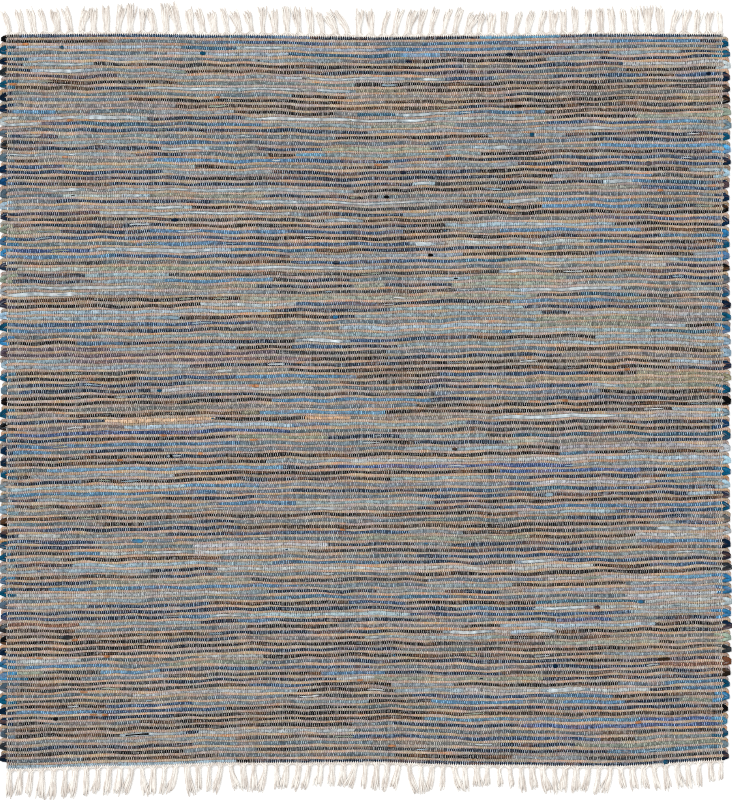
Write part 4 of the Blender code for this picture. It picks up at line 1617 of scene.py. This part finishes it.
@dataclass
class Fringe:
    """One end's fringe: the warps' ends, gathered into knotted tassels.

    The tassels' places, reaches and girths are worked out as in the part's source, so that they lie
    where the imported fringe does.

    Attributes:
        cloth: The cloth whose warps end here.
        name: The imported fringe's name.
        outward: 1 at the far end, -1 at the near end.
        sections: The tassels from the left.
        seed: Of their unevenness.
        fullness: How much wider a tassel is than its rings say.
        heading: From the last row to the tassels' roots, less the gap.
        inset: From the selvedge to the heading's end.
        root_wander: How far a root strays along the heading.
        lean_wander: How far a tip strays.
        reach_wander: How far a reach strays, as a share of it.
        girth_wander: Likewise for a girth.
        tip_spacing: The least distance between two tips.
        drift_power: How late a tassel bends: 1 is straight, 2 is a parabola.
        gap: Between the field and the heading.
        head_out: How far beyond the last row the heading's packed warps have their middle.
        head_half: Half their width and half their height.
        half_strand: Half of a yarn's width.
        strand_sides: How many sides a yarn has.
        core_sides: How many sides a tassel's core has.
        rings: A tassel's size along its way.
    """

    cloth: Cloth
    name: str
    outward: int
    sections: tuple[Section, ...]
    seed: int
    fullness: float
    heading: float = 9 * MM
    inset: float = 9 * MM
    root_wander: float = 1.5 * MM
    lean_wander: float = 3 * MM
    reach_wander: float = 0.07
    girth_wander: float = 0.22
    tip_spacing: float = 13 * MM
    drift_power: float = 1.5
    gap: float = 0.3 * MM
    head_out: float = 1.6 * MM
    head_half: tuple[float, float] = (3.2 * MM, 2.4 * MM)
    half_strand: float = 1.6 * MM
    strand_sides: int = 5
    core_sides: int = 8
    rings: tuple[Ring, ...] = (
        Ring(0.00, 11.5, 5.0),
        Ring(0.09, 13.0, 6.3),
        Ring(0.20, 12.0, 5.4),
        Ring(0.62, 17.0, 4.5),
        Ring(1.00, 16.0, 2.8),
    )

    def plan(self) -> Tassels:
        """The tassels from the left, as in the part's source."""
        draw = np.random.default_rng(self.seed)
        count = sum(section.tassels for section in self.sections)
        span = self.cloth.width - 2 * self.inset
        roots = ((np.arange(count) + 0.5) / count - 0.5) * span
        roots = roots + draw.uniform(-self.root_wander, self.root_wander, count)
        tips, reaches = [], []
        for section in self.sections:
            own = roots[len(tips) : len(tips) + section.tassels]
            closed = own + section.gather * (own.mean() - own)
            tips.extend(closed + section.lean * MM)
            reaches.extend([section.reach * MM] * section.tassels)
        tips = np.array(tips) + draw.uniform(-self.lean_wander, self.lean_wander, count)
        reaches = np.array(reaches) * (1 + draw.uniform(-self.reach_wander, self.reach_wander, count))
        steps = np.arange(count) * self.tip_spacing
        tips = np.maximum.accumulate(tips - steps) + steps
        girths = 1 + draw.uniform(-self.girth_wander, self.girth_wander, count)
        return Tassels(roots, tips, reaches, girths)

    def edge(self, x: np.ndarray) -> np.ndarray:
        """The y of the last row's outer edge at x."""
        return self.cloth.line(x, self.cloth.length if self.outward > 0 else 0.0)

    def size(self, way: np.ndarray, girth: np.ndarray) -> tuple[np.ndarray, np.ndarray]:
        """How wide and how high a tassel is along its way."""
        along, width, height = np.array(self.rings).T
        return np.interp(way, along, width) * MM * girth * self.fullness, np.interp(way, along, height) * MM

    def beside(self, tassels: Tassels, way: np.ndarray, side: np.ndarray) -> tuple[np.ndarray, np.ndarray]:
        """The x and y of points that lie a step to the side of the tassels' middles.

        A middle's x goes from the root's to the tip's by a power of the way along, and its y grows evenly.
        The step is square to the middle's run.
        """
        ahead = np.clip(way, 0, None)
        lean = tassels.tip - tassels.root
        slope = self.drift_power * lean * ahead ** (self.drift_power - 1) / tassels.reach
        bend = 1 / np.hypot(1, slope)
        root_y = self.edge(tassels.root) + self.outward * (self.gap + self.heading)
        x = tassels.root + lean * ahead**self.drift_power + side * bend
        return x, root_y + self.outward * (tassels.reach * way - side * slope * bend)

    def build(self, finish: bpy.types.Material) -> bpy.types.Object:
        """Makes the fringe as one piece, with a closed yarn for each warp.

        A yarn leaves the last row at its warp, closes up to its tassel's root over the heading, and then
        keeps its place in the tassel's oval section along its way. Near the tip each yarn strays to its
        own side.
        """
        draw = np.random.default_rng(self.seed + 50)
        plan = self.plan()
        count = 2 * self.cloth.warp_pairs
        warp_x = (np.arange(count) + 0.5 - count / 2) * self.cloth.warp_pitch / 2
        warp_x = warp_x + self.cloth.wander(warp_x, self.edge(warp_x))
        tassel = np.searchsorted((plan.root[1:] + plan.root[:-1]) / 2, warp_x)
        own = Tassels(*(values[tassel][:, None] for values in plan))
        angle = np.pi * draw.uniform(-0.12, 1.12, (count, 1))
        radius = draw.uniform(0.80, 1.0, (count, 1))
        way = np.array(YARN_WAY) * draw.uniform(0.86, 1.07, (count, 1))
        width, height = self.size(way, own.girth)
        stray = draw.normal(0, 1, (count, 1)).clip(-1.6, 1.6) ** 3 * 2.4 * MM
        stray = stray * np.clip(way - 0.15, 0, None) ** 1.2
        curl = draw.uniform(-1, 1, (count, 1)) * 0.8 * MM * np.sin(way * 9 + draw.uniform(0, 6, (count, 1)))
        side = radius * np.cos(angle) * (width / 2 - self.half_strand) + stray + curl
        out_x, out_y = self.beside(own, way, side)
        out_z = np.maximum(height / 2 * (1 + radius * np.sin(angle)), self.half_strand * 0.8)
        heading = np.array(HEADING_WAY)
        share = np.clip(heading, 0, 1)
        start_x, start_y = warp_x[:, None], self.edge(warp_x)[:, None]
        start_z = np.where(np.arange(count) % 2 == 0, 5.0, 1.8)[:, None] * MM
        head_x = start_x + (out_x[:, :1] - start_x) * share**1.2
        head_y = start_y + (out_y[:, :1] - start_y) * heading
        head_z = start_z + (out_z[:, :1] - start_z) * ease(share)
        centre = np.stack([np.concatenate(parts, axis=1) for parts in
                           ((head_x, out_x), (head_y, out_y), (head_z, out_z))], axis=-1)
        rings = yarn_rings(centre, self.half_strand * draw.uniform(0.75, 1.2, (count, 1)), self.strand_sides)
        yarn = np.repeat(np.arange(count), centre.shape[1])
        steps = np.linalg.norm(np.diff(centre, axis=1), axis=2)
        along = np.concatenate([np.zeros((count, 1)), np.cumsum(steps, axis=1)], axis=1).ravel()
        tone = draw.uniform(-1, 1, count)
        skein = Skein(rings.reshape(-1, self.strand_sides, 3), yarn, along, yarn // 2, None,
                      {"cloth_tone": tone[yarn]})
        made = piece(skein.mesh(self.name + "_yarns"), finish)
        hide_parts(self.name)
        return made

    def build_cores(self, finish: bpy.types.Material) -> bpy.types.Object:
        """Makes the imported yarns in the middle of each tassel, as one oval form that tapers to its end.

        A ring's point lies an ellipse's cosine to the side of the middle and its sine above it. The
        ellipse is the tassel's own section, made smaller so that the strands lie round it.
        """
        plan = self.plan()
        own = Tassels(*(values[:, None, None] for values in plan))
        way, taper = np.array(CORE_WAY)[None, :, None], np.array(CORE_TAPER)[None, :, None]
        width, height = self.size(way, own.girth)
        angle = self.ring_angles()
        x, y = self.beside(own, way, 0.46 * width * taper * np.cos(angle))
        z = height * np.minimum(taper, 1) * (0.50 + 0.43 * np.sin(angle)) + 0 * x
        head = self.head_rings()
        rings = np.concatenate([np.stack([x, y, z], axis=-1).reshape(-1, self.core_sides, 3), head])
        tassels = len(plan.root)
        along = np.r_[(own.reach * way).ravel(), head[:, 0, 0]]
        yarn = np.r_[np.repeat(np.arange(tassels), len(CORE_WAY)), np.full(len(head), tassels)]
        skein = Skein(rings, yarn, along, yarn, None, {"cloth_tone": np.zeros(len(yarn))})
        return piece(skein.mesh(self.name + "_cores"), finish)

    def ring_angles(self) -> np.ndarray:
        """The angles of a core's points, in the order in which its faces look outwards."""
        return 2 * np.pi * (np.arange(self.core_sides) + 0.5) / self.core_sides * -self.outward

    def head_rings(self) -> np.ndarray:
        """Rings of the band of packed warps beside the last row, from the left selvedge to the right.

        A ring's point lies an ellipse's cosine outwards from the band's middle and its sine above it.
        """
        edge = self.cloth.warp_span / 2
        x = np.linspace(-edge, edge, 90)
        out, up = self.head_half
        angle = self.ring_angles()
        y = (self.edge(x) + self.outward * self.head_out)[:, None] + self.outward * out * np.cos(angle)
        z = up * 1.02 + up * np.sin(angle) + 0 * y
        return np.stack([x[:, None] + 0 * y, y, z], axis=-1)


def yarn_rings(centre: np.ndarray, half: np.ndarray, sides: int) -> np.ndarray:
    """Rings round many yarns with the same number of stations.

    A ring's point is the centre plus half the yarn's width along its side or its upward direction. The
    side is level and square to the run, and the upward direction is square to both.

    Args:
        centre: The yarns' middles, in shape (yarns, stations, 3).
        half: Half of each yarn's width, in shape (yarns, 1).
        sides: How many sides a yarn has.

    Returns:
        Points in shape (yarns, stations, sides, 3).
    """
    run = np.gradient(centre, axis=1)
    run /= np.linalg.norm(run, axis=-1, keepdims=True)
    side = np.stack([-run[..., 1], run[..., 0], np.zeros(run.shape[:-1])], axis=-1)
    side /= np.maximum(np.linalg.norm(side, axis=-1, keepdims=True), 1e-9)
    up = np.cross(run, side)
    angle = 2 * np.pi * (np.arange(sides) + 0.5) / sides
    taper = np.ones(centre.shape[1])
    taper[-1] = 0.55
    size = (half * taper)[..., None, None]
    return centre[..., None, :] + size * (np.cos(angle)[:, None] * side[..., None, :]
                                          + np.sin(angle)[:, None] * up[..., None, :])


FAR_SECTIONS = (
    Section(6, -12, 0.0, 54), Section(2, 9, 0.5, 58), Section(1, -4, 0.0, 65), Section(2, 9, 0.5, 63),
    Section(2, -4, 0.5, 56), Section(2, -8, 0.5, 65), Section(6, -13, 0.0, 52), Section(5, -5, 0.0, 60),
    Section(3, -20, 0.3, 50), Section(2, 1, 0.0, 62), Section(7, 14, 0.0, 58), Section(4, 11, 0.2, 48),
    Section(4, 9, 0.0, 49), Section(5, -1, 0.0, 55), Section(4, -5, 0.0, 58), Section(5, 7, 0.1, 48),
)
NEAR_SECTIONS = (
    Section(3, -4, 0.2, 60), Section(4, -6, 0.1, 69), Section(5, -9, 0.1, 62), Section(4, -5, 0.3, 62),
    Section(4, -3, 0.3, 62), Section(4, 3, 0.3, 60), Section(4, -8, 0.2, 58), Section(2, -3, -0.4, 52),
    Section(2, -11, 0.4, 52), Section(4, -12, 0.1, 58), Section(3, 4, 0.5, 62), Section(1, -2, 0.0, 53),
    Section(2, 9, 0.5, 55), Section(4, 2, 0.0, 45), Section(2, 7, 0.0, 52), Section(2, 9, 0.5, 58),
    Section(5, -8, 0.1, 56), Section(3, 7, 0.0, 48), Section(5, 6, 0.1, 54), Section(2, 1, 0.0, 40),
)


# ---- Stage -----------------------------------------------------------------------------------------


@dataclass
class Studio:
    """The pale floor, the soft light and the camera, which looks straight down as in the photograph.

    Attributes:
        floor_size: The floor's side.
        floor_height: Just under the rug.
        lens: The camera's focal length in millimetres.
        sensor: The camera's sensor in millimetres, on the photograph's longer side.
        sky: The strength of the light from all round.
        sun: The strength of the light from the upper left.
        sun_softness: The sun's angle in degrees.
    """

    floor_size: float = 14.0
    floor_height: float = -0.2 * MM
    lens: float = 150.0
    sensor: float = 36.0
    sky: float = 1.04
    sun: float = 1.2
    sun_softness: float = 35.0

    def build(self, cloth: Cloth) -> None:
        """Sets the floor, the lights and the camera."""
        self.floor()
        self.lights()
        self.camera(cloth)

    def floor(self) -> None:
        """A square just under the rug."""
        half = self.floor_size / 2
        around = ((-half, -half), (half, -half), (half, half), (-half, half))
        mesh = bpy.data.meshes.new("floor")
        mesh.from_pydata([(x, y, self.floor_height) for x, y in around], [], [(0, 1, 2, 3)])
        material = bpy.data.materials.new("pale_floor")
        material.use_nodes = True
        shader = material.node_tree.nodes["Principled BSDF"]
        shader.inputs["Base Color"].default_value = (0.94, 0.94, 0.935, 1)
        shader.inputs["Roughness"].default_value = 1.0
        shader.inputs["Specular IOR Level"].default_value = 0.0
        mesh.materials.append(material)
        floor = bpy.data.objects.new("floor", mesh)
        bpy.context.scene.collection.objects.link(floor)

    def lights(self) -> None:
        """A white sky and a soft sun from the upper left."""
        world = bpy.data.worlds.new("studio_sky")
        world.use_nodes = True
        background = world.node_tree.nodes["Background"]
        background.inputs["Color"].default_value = (1.0, 1.0, 1.0, 1)
        background.inputs["Strength"].default_value = self.sky
        bpy.context.scene.world = world
        light = bpy.data.lights.new("soft_sun", "SUN")
        light.energy = self.sun
        light.angle = math.radians(self.sun_softness)
        sun = bpy.data.objects.new("soft_sun", light)
        sun.rotation_euler = (math.radians(-32), math.radians(-38), 0)
        bpy.context.scene.collection.objects.link(sun)

    def camera(self, cloth: Cloth) -> None:
        """A long lens straight above the photograph's middle."""
        lens = bpy.data.cameras.new("overhead")
        lens.lens = self.lens
        lens.sensor_width = self.sensor
        distance = self.lens / self.sensor * PHOTO_SIZE[1] * PIXEL
        lens.clip_end = 4 * distance
        camera = bpy.data.objects.new("overhead", lens)
        x, y = cloth.from_photo(PHOTO_SIZE[0] / 2, PHOTO_SIZE[1] / 2)
        camera.location = (x, y, distance)
        bpy.context.scene.collection.objects.link(camera)
        bpy.context.scene.camera = camera


def main() -> None:
    """Builds the rug's pieces in the order in which it is woven, and then the studio."""
    logging.basicConfig(level=logging.INFO, format="%(name)s: %(message)s")
    scene = bpy.context.scene
    scene.view_settings.view_transform = "Standard"
    scene.cycles.filter_width = 1.0
    scene.cycles.use_denoising = False
    cloth = Cloth()
    denim = RagFinish().dress()
    jute = JuteFinish().dress()
    rubbed_cotton = CottonFinish(name="cotton_over_rags", clean=(198, 195, 189), soiled=(110, 108, 107),
                                 dyed=True).dress()
    tan_cotton = CottonFinish(name="cotton_over_jute", clean=(226, 218, 211), soiled=(166, 151, 140),
                              jute=0.6).dress()
    fringe_cotton = CottonFinish(name="fringe_cotton", clean=(243, 239, 232), soiled=(214, 204, 195),
                                 shading=0.10, relief=0.0, patches=26).dress()
    rag_weft = RagWeft(cloth)
    jute_weft = JuteWeft(cloth)
    rags = rag_weft.build(denim)
    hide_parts("woven_field")
    others = [jute_weft.build(jute)]
    warps = Warps(cloth, rag_weft, jute_weft)
    for row_kind, over_rags, cotton in (("rags", True, rubbed_cotton), ("jute", False, tan_cotton)):
        for side, left_half in (("left", True), ("right", False)):
            others.append(warps.build(f"warps_over_{row_kind}_{side}", over_rags, left_half, cotton))
    others.append(LooseRags(cloth).build(denim))
    for fringe in (Fringe(cloth, "far_fringe", 1, FAR_SECTIONS, 11, fullness=1.18),
                   Fringe(cloth, "near_fringe", -1, NEAR_SECTIONS, 23, fullness=1.06)):
        others += [fringe.build(fringe_cotton), fringe.build_cores(fringe_cotton)]
    Studio().build(cloth)


if __name__ == "__main__":
    main()
